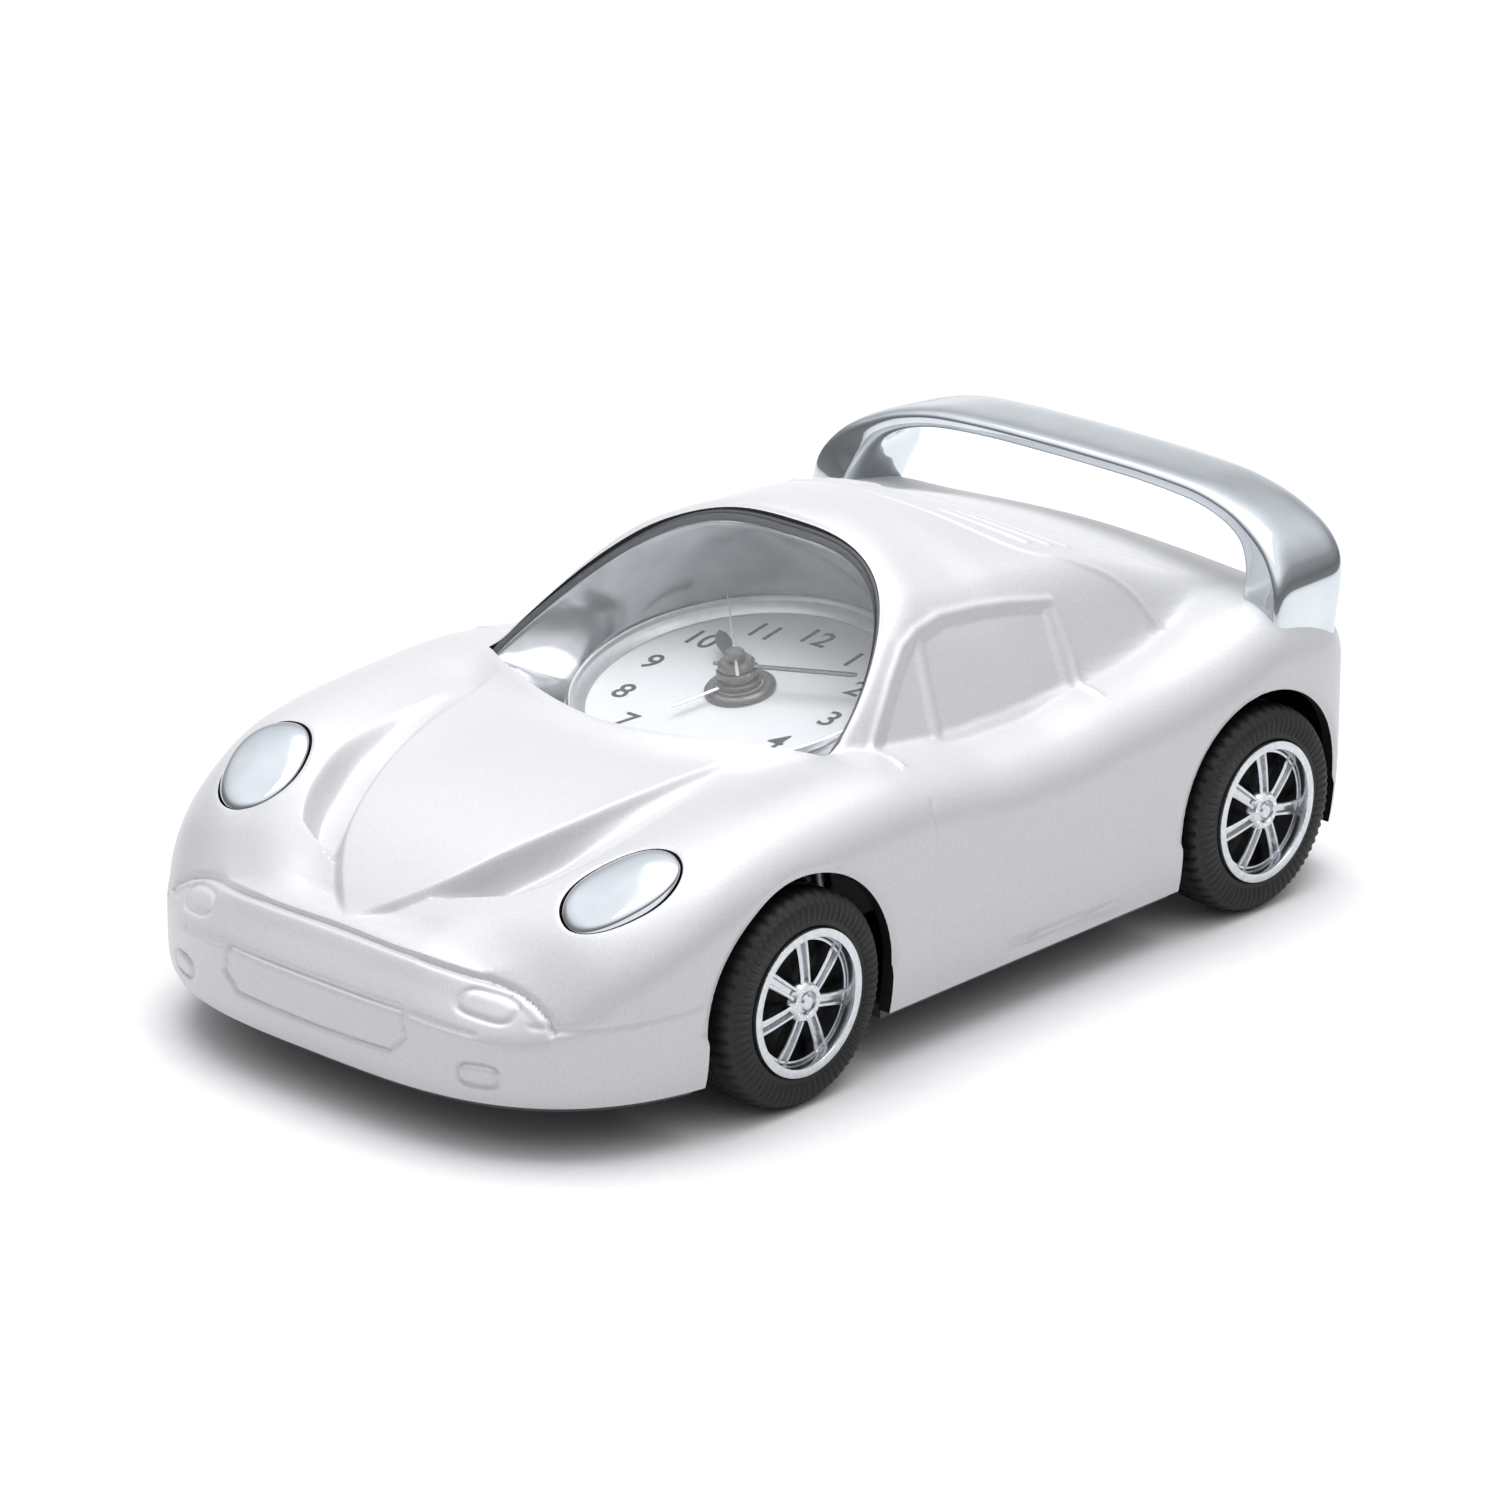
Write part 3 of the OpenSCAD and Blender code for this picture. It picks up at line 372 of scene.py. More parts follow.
def loft(rings: np.ndarray) -> tuple[np.ndarray, list[np.ndarray]]:
    """A closed solid through a stack of rings, with a fan to the middle of each end.

    Args:
        rings: An array of rings, points and coordinates.
    Returns:
        Points and face groups.
    """
    rings = np.asarray(rings, float)
    k, n = rings.shape[:2]
    points = np.concatenate([rings.reshape(-1, 3), rings[0].mean(0)[None], rings[-1].mean(0)[None]])
    i, j = np.arange(n), (np.arange(n) + 1) % n
    low = np.stack([i, j, np.full(n, k * n)], -1)
    high = np.stack([(k - 1) * n + j, (k - 1) * n + i, np.full(n, k * n + 1)], -1)
    return points, [tube_faces(k, n, False), low, high]


def turned(profile: Sequence[tuple[float, float]], steps: int) -> tuple[np.ndarray, list[np.ndarray]]:
    """Turns a closed profile round the z axis: (r cos a, r sin a, h).

    Args:
        profile: Pairs of radius and height, in order.
        steps: How many times the profile is repeated round the axis.
    Returns:
        Points and face groups.
    """
    r, h = np.array(profile, float).T
    angle = np.arange(steps) * 2 * np.pi / steps
    points = np.stack([np.cos(angle)[:, None] * r, np.sin(angle)[:, None] * r,
                       np.broadcast_to(h, (steps, len(h)))], -1)
    return points.reshape(-1, 3), [tube_faces(steps, len(h))]


def join(*solids: tuple[np.ndarray, list[np.ndarray]]) -> tuple[np.ndarray, list[np.ndarray]]:
    """Puts several solids into one.

    Args:
        solids: Points and face groups of each.
    Returns:
        Points and face groups of all.
    """
    points, faces, base = [], [], 0
    for p, groups in solids:
        points.append(p)
        faces += [g + base for g in groups]
        base += len(p)
    return np.concatenate(points), faces


def rounded(profile: Sequence[tuple[float, float]], radius: float, steps: int = 3) -> np.ndarray:
    """Rounds each corner of a closed outline by a quadratic curve that starts a radius before it.

    Args:
        profile: Corners in order.
        radius: How far from the corner the curve starts, at most half of each side.
        steps: Pieces per corner.
    Returns:
        The rounded outline.
    """
    p = np.array(profile, float)
    back, ahead = np.roll(p, 1, 0) - p, np.roll(p, -1, 0) - p
    lb, la = np.linalg.norm(back, axis=1, keepdims=True), np.linalg.norm(ahead, axis=1, keepdims=True)
    a = p + back / lb * np.minimum(radius, lb * 0.48)
    b = p + ahead / la * np.minimum(radius, la * 0.48)
    t = np.linspace(0, 1, steps + 1)[None, :, None]
    return ((1 - t) ** 2 * a[:, None] + 2 * t * (1 - t) * p[:, None] + t * t * b[:, None]).reshape(-1, 2)


def even_loop(points: np.ndarray, count: int, closed: bool = True) -> np.ndarray:
    """Spreads points evenly by length along a line of points.

    Args:
        points: The line's corners.
        count: How many points to make.
        closed: Whether the line returns to its start.
    Returns:
        The new points.
    """
    line = np.concatenate([points, points[:1]]) if closed else points
    length = np.concatenate([[0], np.cumsum(np.linalg.norm(np.diff(line, axis=0), axis=1))])
    at = np.linspace(0, length[-1], count, endpoint=not closed)
    return np.stack([np.interp(at, length, line[:, i]) for i in range(line.shape[1])], -1)


def from_line(points: np.ndarray, line: np.ndarray) -> np.ndarray:
    """Distance of each point from a line in the plane, the least over its straight pieces.

    Args:
        points: Places, one row each.
        line: The line's corners in order.
    Returns:
        One distance per point.
    """
    a, d = line[:-1], np.diff(line, axis=0)
    best = np.full(len(points), 1e9)
    for start, along in zip(a, d):
        t = np.clip(((points - start) @ along) / max(along @ along, 1e-12), 0, 1)
        best = np.minimum(best, np.linalg.norm(points - start - t[:, None] * along, axis=1))
    return best


def inside(points: np.ndarray, loop: np.ndarray) -> np.ndarray:
    """Whether each point lies in a closed loop, by counting the sides that a ray along x crosses.

    Args:
        points: Places, one row each.
        loop: The loop's corners in order.
    Returns:
        One truth value per point.
    """
    a, b = loop, np.roll(loop, -1, 0)
    hits = np.zeros(len(points), int)
    for (ax, ay), (bx, by) in zip(a, b):
        span = (ay > points[:, 1]) != (by > points[:, 1])
        cross = ax + (points[:, 1] - ay) / (by - ay + 1e-12) * (bx - ax)
        hits += span & (points[:, 0] < cross)
    return hits % 2 == 1


def cut(piece: bpy.types.Object, tools: Sequence[bpy.types.Object]) -> None:
    """Cuts tools out of a piece for good and removes the tools.

    Args:
        piece: The piece to be cut, whose mesh is replaced.
        tools: Closed meshes.
    """
    for tool in tools:
        change = piece.modifiers.new("cut", "BOOLEAN")
        change.operation, change.solver, change.object = "DIFFERENCE", "MANIFOLD", tool
    result = bpy.data.meshes.new_from_object(piece.evaluated_get(bpy.context.evaluated_depsgraph_get()))
    old, piece.data = piece.data, result
    result.name = piece.name
    piece.modifiers.clear()
    bpy.data.meshes.remove(old)
    for tool in tools:
        bpy.data.objects.remove(tool)


def prism(name: str, outline: np.ndarray, low: float, high: float, axis: str = "z") -> bpy.types.Object:
    """A straight prism used as a cutting tool; its faces take the black slot, which puts painted shade on the
    walls that it cuts.

    Args:
        name: The tool's name.
        outline: Corners in the plane across the axis.
        low: Where the prism starts along the axis.
        high: Where it ends.
        axis: The letter z or x.
    Returns:
        The tool.
    """
    rings = []
    for level in (low, high):
        third = np.full((len(outline), 1), level)
        rings.append(np.hstack([outline, third] if axis == "z" else [third, outline]))
    points, faces = loft(np.array(rings))
    # slot 1 is the black painted shade that the cut walls take over
    tool = write_mesh(name, points, faces, face_slots=[1] * len(faces))
    tool.data.materials.append(SILVER_PAINT.make())
    tool.data.materials.append(BLACK_ABS_AND_PAINTED_SHADE.make())
    return tool


def dress(piece: bpy.types.Object, finishes: Sequence[Finish], body: str,
          nodes: Sequence[str] = ()) -> None:
    """Gives a piece its materials and tells the frame what it rides on and stands for.

    Args:
        piece: The finished piece.
        finishes: One finish per material slot.
        body: The CAD body that carries it.
        nodes: CAD nodes that it replaces.
    """
    for index, finish in enumerate(finishes):
        if index < len(piece.data.materials):
            piece.data.materials[index] = finish.make()
        else:
            piece.data.materials.append(finish.make())
    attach(piece, body)
    if nodes:
        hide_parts(*nodes)
    LOG.info("%s rides on %s, %d faces", piece.name, body, len(piece.data.polygons))


# ---- body shell ------------------------------------------------------------------------------------

class View(Enum):
    """The plane that a mark is drawn in, as the two coordinates it keeps and the one it looks along."""

    FRONT = (0, 2, 1)
    SIDE = (1, 2, 0)
    TOP = (0, 1, 2)


@dataclass(frozen=True)
class Mark:
    """A line or a field drawn on the skin and pressed into it.

    The depth of a line is -groove * exp(-(d / width)^2) at a distance d. A field drops by "drop" inside its
    loop over the distance "edge". A ledge lifts the side below the line and fades over "fade".
    """

    view: View
    line: Sequence[tuple[float, float]] | np.ndarray
    limits: tuple[float, float]
    groove: float = 0.0
    width: float = 0.32
    drop: float = 0.0
    edge: float = 0.5
    ledge: float = 0.0
    fade: float = 3.0
    closed: bool = False
    smooth: bool = False
    reach: float = 0.0
    run_out: float = 0.8

    def path(self) -> np.ndarray:
        """Lays out the line.

        Returns:
            The line as points, closed or smoothed as asked.
        """
        p = np.array(self.line, float)
        if self.smooth:
            s = np.concatenate([[0], np.cumsum(np.linalg.norm(np.diff(p, axis=0), axis=1))])
            at = np.linspace(0, s[-1], 6 * len(p))
            p = np.stack([Line(*zip(s, p[:, 0]))(at), Line(*zip(s, p[:, 1]))(at)], -1)
        return np.concatenate([p, p[:1]]) if self.closed else p

    def near(self, points: np.ndarray, reach: float) -> np.ndarray:
        """Finds the points that the mark can touch.

        Args:
            points: Places on the skin.
            reach: How far from the line's own box they may lie.
        Returns:
            Their numbers.
        """
        flat, third = points[:, self.view.value[:2]], points[:, self.view.value[2]]
        p = self.path()
        low, high = p.min(0) - reach, p.max(0) + reach
        return np.flatnonzero((third > self.limits[0]) & (third < self.limits[1])
                              & (flat > low).all(1) & (flat < high).all(1))

    def distance(self, points: np.ndarray) -> np.ndarray:
        """Distance of each point from the line, in the mark's own plane."""
        return from_line(points[:, self.view.value[:2]], self.path())

    def press(self, points: np.ndarray) -> np.ndarray:
        """Works out how far each point is lifted along the skin's normal.

        Args:
            points: Places on the skin.
        Returns:
            One lift per point, negative where it is pressed in.
        """
        lift = np.zeros(len(points))
        hit = self.near(points, max(3 * self.width, self.fade if self.ledge else 0))
        if not len(hit):
            return lift
        p, d = points[hit], self.distance(points[hit])
        third = p[:, self.view.value[2]]
        low, high = self.limits
        fade = step01(low, low + self.run_out, third) * (1 - step01(high - self.run_out, high, third))
        value = -self.groove * np.exp(-(d / self.width) ** 2)
        if self.drop:
            value -= self.drop * step01(0, self.edge, d) * inside(p[:, self.view.value[:2]], self.path()[:-1])
        if self.ledge:
            q = self.path()
            top = np.interp(p[:, self.view.value[0]], q[:, 0], q[:, 1])
            below = p[:, self.view.value[1]] < top
            value += self.ledge * below * step01(0, 0.5, d) * (1 - step01(0.5, self.fade, d))
        lift[hit] = value * fade
        return lift


def ellipse(centre: tuple[float, float], half: tuple[float, float], power: float = 2.0, turn: float = 0.0,
            count: int = 48) -> np.ndarray:
    """A superellipse |x/a|^n + |y/b|^n = 1 about a centre.

    Args:
        centre: Its middle.
        half: Half lengths a and b.
        power: The power n.
        turn: Degrees that it is turned by.
        count: How many points it has.
    Returns:
        The points in order.
    """
    a = np.arange(count) * 2 * np.pi / count
    x = half[0] * powered(np.cos(a), 2 / power)
    y = half[1] * powered(np.sin(a), 2 / power)
    return about_z(np.column_stack([x, y, 0 * x]), math.radians(turn))[:, :2] + centre


@dataclass
class Screen:
    """The windscreen's outline: a superellipse arch over a bowed lower edge, seen from above."""

    side: float = 27.6
    low_y: float = -14.3
    top_y: float = 9.6
    bow: float = 9.4
    arch_powers: tuple[float, float] = (3.2, 1.5)
    middle: tuple[float, float] = (0.0, -5.0)

    def outline(self, grow: float = 0.0, count: int = 180) -> np.ndarray:
        """The outline: x = side cos^(2/3.2) a and y rising with sin^(2/1.5) a, then a parabola below.

        Args:
            grow: How far it is pushed out from the middle.
            count: How many points it has, evenly spaced.
        Returns:
            The points in order.
        """
        a = np.linspace(0, np.pi, 400)
        across, up = self.arch_powers
        arch = np.stack([self.side * powered(np.cos(a), 2 / across),
                         self.low_y + (self.top_y - self.low_y) * np.sin(a) ** (2 / up)], -1)
        s = np.linspace(-1, 1, 200)[1:-1]
        bow = np.stack([self.side * s, self.low_y - self.bow * (1 - s * s)], -1)
        return self.push(even_loop(np.concatenate([arch, bow]), count), grow)

    def push(self, points: np.ndarray, by: float) -> np.ndarray:
        """Moves points level and straight away from the outline's middle.

        Args:
            points: Places whose first two columns are x and y.
            by: How far they move.
        Returns:
            A moved copy.
        """
        moved = points.copy()
        away = moved[:, :2] - self.middle
        moved[:, :2] += by * away / np.linalg.norm(away, axis=1, keepdims=True)
        return moved


def lens_height(x: Any, y: Any) -> np.ndarray:
    """The lens: a plane that rises to the back, less the cube of the distance from the middle line."""
    return 34.3 + 0.4985 * (y + 23.5) - 5.4 * (np.abs(x) / 28) ** 3


@dataclass
class BodyForm:
    """The form of the body as a height over the ground plan, with a rounded shoulder round its edge."""

    half_length: float = 71.2
    half_width: float = 41.15
    sill: float = 6.8
    highest: float = 52.38
    nose_y: float = -37.15
    tail_y: float = 45.0
    nose_powers: tuple[float, float] = (3.175, 2.446)
    tail_power: float = 7.3
    spine_share: float = 0.62
    vee_height: float = 0.9
    flank_rows: int = 14
    shoulder_rows: int = 12
    top_rows: int = 34
    bonnet: Line = field(default_factory=lambda: Line(
        (-71.2, 19.8), (-65, 22.2), (-61, 24.6), (-56, 27.3), (-51, 29.4), (-43, 31.6), (-35, 33), (-26, 34),
        (-15, 34.6), (0, 34), (15, 33.5), (30, 33.5), (45, 34.5), (60, 36.2), (71.2, 35)))
    fender: Line = field(default_factory=lambda: Line(
        (-64, 19.2), (-61.4, 21.5), (-58, 24.9), (-51.5, 28.7), (-41.6, 32.5), (-28, 34.2), (-15, 34.8),
        (-5, 33.8), (5, 32.5), (14, 32.4), (24, 33.2), (34, 33.8), (44, 35.2), (50, 36.6), (55, 37.4),
        (62, 36.4), (71.2, 34)))
    roof: Line = field(default_factory=lambda: Line(
        (-30, 60), (0, 55), (8, 53.2), (15, 52.6), (20, 52.2), (26, 50.8), (32, 48.8), (40, 45.7),
        (48, 42.8), (56, 40.2), (62, 38.4), (67, 36.8), (71.2, 35.6)))
    cabin_side: Line = field(default_factory=lambda: Line(
        (-16, 28), (-8, 30.2), (0, 31.2), (15, 31.6), (30, 31.4), (45, 30.6), (55, 29.5), (71, 28)))
    vee: Line = field(default_factory=lambda: Line(
        (-65.2, 0), (-61, 5.1), (-56, 9.4), (-51.2, 11.9), (-42.8, 15.2), (-34.8, 17.2), (-26.5, 18.8),
        (-15, 21)))
    scoop_width: Line = field(default_factory=lambda: Line(
        (-59.5, 0.6), (-57, 5), (-55, 8), (-50, 9.2), (-45, 8.8), (-38, 7), (-30, 5), (-22, 3)))
    scoop_depth: Line = field(default_factory=lambda: Line(
        (-59.5, 0), (-57, 1.9), (-54, 3.3), (-48, 3.2), (-41, 2.0), (-33, 0.8), (-25, 0)))

    def __post_init__(self) -> None:
        """Lays out the half plan: superellipse nose, straight flank and squarer superellipse tail."""
        s = np.linspace(0, 1, 1500)
        a = np.pi / 2 * s * s * (3 - 2 * s)
        across, along = (2 / power for power in self.nose_powers)
        square = 2 / self.tail_power
        nose = np.stack([self.half_width * np.sin(a) ** across,
                         self.nose_y - (self.half_length + self.nose_y) * np.cos(a) ** along], -1)
        tail = np.stack([self.half_width * np.cos(a) ** square,
                         self.tail_y + (self.half_length - self.tail_y) * np.sin(a) ** square], -1)
        plan = even_loop(np.concatenate([nose, tail]), 6000, closed=False)
        plan[[0, -1], 0] = 0
        self.plan_at = np.linspace(0, 1, len(plan))
        self.plan_points = plan
        self.rows = self.flank_rows + self.shoulder_rows + self.top_rows

    def plan(self, u: np.ndarray) -> tuple[np.ndarray, np.ndarray]:
        """The plan's edge at a share of its half length, nose to tail."""
        return tuple(np.interp(u, self.plan_at, self.plan_points[:, i]) for i in (0, 1))

    def nose_edge(self, x: np.ndarray) -> np.ndarray:
        """How far forward the plan reaches at a distance from the middle."""
        share = np.clip(np.abs(x) / self.half_width, 0, 1)
        across, along = self.nose_powers
        return self.nose_y - (self.half_length + self.nose_y) * (1 - share ** across) ** (1 / along)

    def lower(self, x: np.ndarray, y: np.ndarray) -> np.ndarray:
        """Bonnet and haunches: the bonnet line in the middle blends into the fender line at the sides.

        Args:
            x: Distances from the middle line.
            y: Places along the car.
        Returns:
            Heights.
        """
        ax = np.abs(x)
        back = y - 0.6 * (self.nose_edge(np.minimum(ax, 34)) + self.half_length) * (1 - step01(-60, -20, y))
        side = step01(12, 31, ax)
        return self.bonnet(back) * (1 - side) + self.fender(y) * side

    def cabin(self, x: np.ndarray, y: np.ndarray) -> np.ndarray:
        """Cabin: the lowest of the cambered roof, the sloping sides and the lens plane, softly joined.

        Args:
            x: Distances from the middle line.
            y: Places along the car.
        Returns:
            Heights.
        """
        ax = np.abs(x)
        roof = self.roof(y) - (0.0135 - 0.01 * step01(15, 42, y)) * ax ** 2
        side = 33 + (self.cabin_side(y) - ax) * 1.55
        return soft_min(soft_min(roof, side, 3.0), lens_height(x, y) + 1.0, 2.0)

    def height(self, x: np.ndarray, y: np.ndarray) -> np.ndarray:
        """The whole top: the raised vee panel, the scoops beside it and the cabin above.

        Args:
            x: Distances from the middle line.
            y: Places along the car.
        Returns:
            Heights.
        """
        beside = np.abs(x) - self.vee(y)
        shown = step01(-65.5, -62, y) * (1 - step01(-24, -16, y))
        step = self.vee_height * step01(-0.3, 1.1, beside) * (1 - step01(3, 14, beside))
        z = self.lower(x, y) - shown * step
        across = beside / self.scoop_width(y)
        z = z - self.scoop_depth(y) * step01(-0.2, 2.4, beside) * (1 - step01(0.62, 1, across))
        return soft_max(z, self.cabin(x, y), 1.2)

    def skin(self, u: np.ndarray, row: np.ndarray, inset: float = 0.0) -> np.ndarray:
        """A point of the half skin.

        The flank goes straight up, the shoulder is a quarter ellipse inwards, or round the nose a slope t^1.3
        with a crisp top, and the top runs along a ray to the spine, a point on the middle line at a share of
        the edge's own y.

        Args:
            u: Share of the plan, nose to tail.
            row: Row number, from the sill to the spine, whole or not.
            inset: How far inside the outer skin the point lies.
        Returns:
            One row per point.
        """
        x0, y0 = self.plan(u)
        xa, ya = self.plan(np.clip(u - 0.003, 0, 1))
        xb, yb = self.plan(np.clip(u + 0.003, 0, 1))
        sideways = np.abs(yb - ya) / np.hypot(xb - xa, yb - ya)
        spine = y0 * self.spine_share
        span = np.hypot(x0, y0 - spine)
        dx, dy = -x0 / span, (spine - y0) / span
        round_in, round_down = 5 + 5 * sideways ** 2, 4.5 + 3 * sideways ** 2
        crisp = 0.9 * (1 - step01(0.3, 0.75, sideways)) * (y0 < 0)
        flank = np.clip(row / self.flank_rows, 0, 1)
        angle = np.clip((row - self.flank_rows) / self.shoulder_rows, 0, 1) * np.pi / 2
        top = np.clip((row - self.flank_rows - self.shoulder_rows) / self.top_rows, 0, 1)
        share = angle / (np.pi / 2)
        inwards = (1 - np.cos(angle)) * (1 - crisp) + share ** 1.3 * crisp
        downwards = (1 - np.sin(angle)) * (1 - crisp) + (1 - share) * crisp
        reach = 0.8 * (1 - flank) ** 6 + round_in * inwards + (span - round_in) * top
        reach = reach * (span - inset) / span + inset
        x, y = x0 + dx * reach, y0 + dy * reach
        edge_top = self.height(x0, y0) - round_down
        z = np.where(row < self.flank_rows, self.sill + (edge_top - self.sill) * flank,
                     self.height(x, y) - round_down * downwards)
        z = z - 1.1 * inset * (row >= self.flank_rows)
        return np.stack([np.where(top >= 1, 0.0, x), y, z], -1)

    def normal(self, u: np.ndarray, row: np.ndarray) -> np.ndarray:
        """The outward normal: the cross product of small steps along the plan and up the rows.

        Args:
            u: Share of the plan, nose to tail.
            row: Row number.
        Returns:
            One unit vector per point, level with the middle plane where the halves meet.
        """
        eu, er = 0.001, 0.05
        along = self.skin(np.clip(u + eu, 0, 1), row) - self.skin(np.clip(u - eu, 0, 1), row)
        up = self.skin(u, np.clip(row + er, 0, self.rows)) - self.skin(u, np.clip(row - er, 0, self.rows))
        n = np.cross(along, up)
        n[(u <= 0) | (u >= 1) | (row >= self.rows), 0] = 0
        return n / np.maximum(np.linalg.norm(n, axis=1, keepdims=True), 1e-12)


@dataclass
class BodyShell:
    """The painted shell: outer skin with its pressed marks, inner skin, arches and openings."""

    form: BodyForm = field(default_factory=BodyForm)
    screen: Screen = field(default_factory=Screen)
    wall: float = 1.8
    arch_radius: float = 15.2
    axle_height: float = 13.1
    axle_places: tuple[float, float] = (-32.2, 50.4)
    lamp_place: tuple[float, float] = (29.2, -50.1)
    lamp_half: tuple[float, float] = (5.1, 6.9)
    lamp_turn: float = -28.0
    cells_round: int = 156
    split: int = 4
    mark_reach: float = 1.2
    crease_deg: float = 38.0
    screen_cut: tuple[float, float] = (24.0, 70.0)
    lamp_cut: tuple[float, float] = (14.0, 60.0)
    arch_cut: tuple[float, float] = (29.0, 46.0)

    def lamp_outline(self, grow: float) -> np.ndarray:
        """The headlight's oval, grown by a distance."""
        half = (self.lamp_half[0] + grow, self.lamp_half[1] + grow)
        return ellipse(self.lamp_place, half, 2.2, self.lamp_turn, 64)

    def arch_outline(self, y: float) -> np.ndarray:
        """A wheel arch seen from the side: a half circle on two legs.

        Args:
            y: The axle's place along the car.
        Returns:
            Corners of the closed outline, in y and z.
        """
        a = np.linspace(0, np.pi, 49)
        r = self.arch_radius
        ring = np.stack([y + r * np.cos(a), self.axle_height + r * np.sin(a)], -1)
        return np.concatenate([ring, [[y - r, -6.0], [y + r, -6.0]]])

    def marks(self) -> list[Mark]:
        """Lists every line and field pressed into half of the skin.

        Returns:
            The marks of the left half.
        """
        nose, tail, flank, cabin = (-73.0, -60.0), (62.0, 73.0), (34.0, 43.0), (21.0, 35.5)
        deck, form = (38.0, 54.0), self.form
        marks = [
            # bumper: the panel line under the bonnet, with the ledge that it stands on
            Mark(View.FRONT, ((-3, 21.2), (6.4, 21.2), (13, 21.1), (17.8, 20.7), (22.1, 20.1), (25.5, 19.5),
                              (28.2, 18.6), (30.4, 17.4), (31.5, 16)), nose, 0.42, 0.3, ledge=0.2, fade=2.4),
            # grille field, two lamps and the crease between them
            Mark(View.FRONT, ((-3, 16.2), (14, 16.2), (14.9, 13.0), (12.4, 10.8), (-3, 10.5)), nose, 0.4,
                 0.26, drop=0.22, edge=0.7, closed=True),
            Mark(View.FRONT, ellipse((23.6, 17.9), (3.3, 1.1), 3.4, -9, 40), nose, 0.2, 0.24, drop=-0.12,
                 edge=0.8, closed=True),
            Mark(View.FRONT, ellipse((24.2, 10.4), (2.4, 1.3), 3.0, 0, 32), nose, 0.3, 0.26, drop=-0.15,
                 edge=0.7, closed=True),
            Mark(View.FRONT, ((15.6, 16.0), (19.5, 15.6), (23.6, 15.2)), nose, 0.14, 0.35),
            Mark(View.SIDE, ((-64.5, 16.4), (-56, 16.9), (-48, 17.3)), (26.0, 43.0), 0.16, 0.3),
            # flank: door line, sill lines and the pressed line that runs back from the door
            Mark(View.SIDE, ((-9.0, 30.8), (-10.0, 28.8), (-10.2, 27.0), (-10.2, 12.3), (-8.8, 7.2)), flank,
                 0.14, 0.24),
            Mark(View.SIDE, ((4, 9.6), (23.4, 9.0)), flank, 0.24, 0.3),
            Mark(View.SIDE, ((4, 8.6), (23.4, 8.0)), flank, 0.24, 0.3),
            Mark(View.SIDE, ((9.2, 22.3), (33.5, 23.4)), flank, -0.12, 0.5),
            # side window: frame ridge, divider and two sunken panes
            Mark(View.SIDE, ((-8.8, 33.8), (-5.7, 36.7), (-1.5, 40.4), (2.2, 43.1), (5.4, 44.2), (10.1, 44.7),
                             (16.6, 44.2), (21.5, 43.6), (28.4, 42.3), (27.7, 36.4), (26.7, 33.2)), cabin,
                 -0.3, 0.42),
            Mark(View.SIDE, ((-6.9, 34.2), (-4.7, 36.2), (-0.9, 39.6), (2.6, 42.2), (4.3, 42.9), (1.2, 33.6)),
                 cabin, 0.12, 0.2, drop=0.32, edge=0.3, closed=True),
            Mark(View.SIDE, ((5.7, 43.2), (10, 43.8), (16.6, 43.3), (21.5, 42.7), (26.4, 41.8), (24.7, 33.8),
                             (14, 33.4), (2.5, 33.6)), cabin, 0.12, 0.2, drop=0.32, edge=0.3, closed=True),
            # engine cover: the ridge behind the roof, its louvres and the step behind them
            Mark(View.TOP, ((0, 22.6), (4, 23.6), (8.6, 25.4), (18.7, 29.9), (22.6, 35.3), (24.8, 39.8),
                            (26.9, 42.6), (29.4, 44.2)), (34.0, 54.0), -0.26, 0.4, smooth=True),
            *(Mark(View.TOP, ((7.6, y), end), deck, -0.3, 0.42)
              for y, end in ((28.2, (17.4, 32.8)), (31.0, (18.2, 36.0)), (33.8, (18.6, 39.0)))),
            Mark(View.TOP, ((0, 39.2), (4.7, 40.7), (18.5, 49.1), (23.5, 53.5)), (36.0, 54.0), 0.3, 0.45,
                 smooth=True),
            # tail: round lamps, a blank plate field and the lower vent
            *(Mark(View.FRONT, ellipse((x, 25.0), (4.0, 4.0)), tail, 0.34, 0.3, drop=-0.3, edge=1.6,
                   closed=True) for x in (29.5, 20.0)),
            Mark(View.FRONT, ((-3, 28.2), (11.6, 28.2), (12.6, 27.2), (12.6, 22.2), (11.6, 21.2), (-3, 21.2)),
                 tail, 0.22, 0.28, drop=0.3, edge=0.5, closed=True),
            Mark(View.FRONT, ((0, 17.4), (24, 17.4), (35.5, 18.8)), tail, 0.3, 0.3),
            Mark(View.FRONT, ((-3, 14.6), (19, 14.6), (16.4, 10.2), (-3, 10.2)), tail, 0.24, 0.28, drop=0.35,
                 edge=0.5, closed=True),
            # edges rolled inwards round the openings
            Mark(View.TOP, self.screen.outline(0.0, 90), (30.0, 54.0), 0.22, 0.45, closed=True),
            Mark(View.TOP, self.lamp_outline(0.0), (18.0, 40.0), 0.16, 0.3, closed=True),
            *(Mark(View.SIDE, self.arch_outline(y)[:-2], (30.0, 43.0), 0.42, 0.55) for y in self.axle_places)]
        # the vee's edge and the scoop press nothing, they only ask for a finer mesh
        edge, scoop = np.linspace(-65.2, -24, 24), np.linspace(-57.5, -32, 16)
        middle = form.vee(scoop) + 0.55 * form.scoop_width(scoop)
        return marks + [
            Mark(View.TOP, np.column_stack([form.vee(edge) + 0.4, edge]), (20.0, 40.0), reach=1.5),
            Mark(View.TOP, np.column_stack([middle, scoop]), (20.0, 40.0), reach=5.0)]

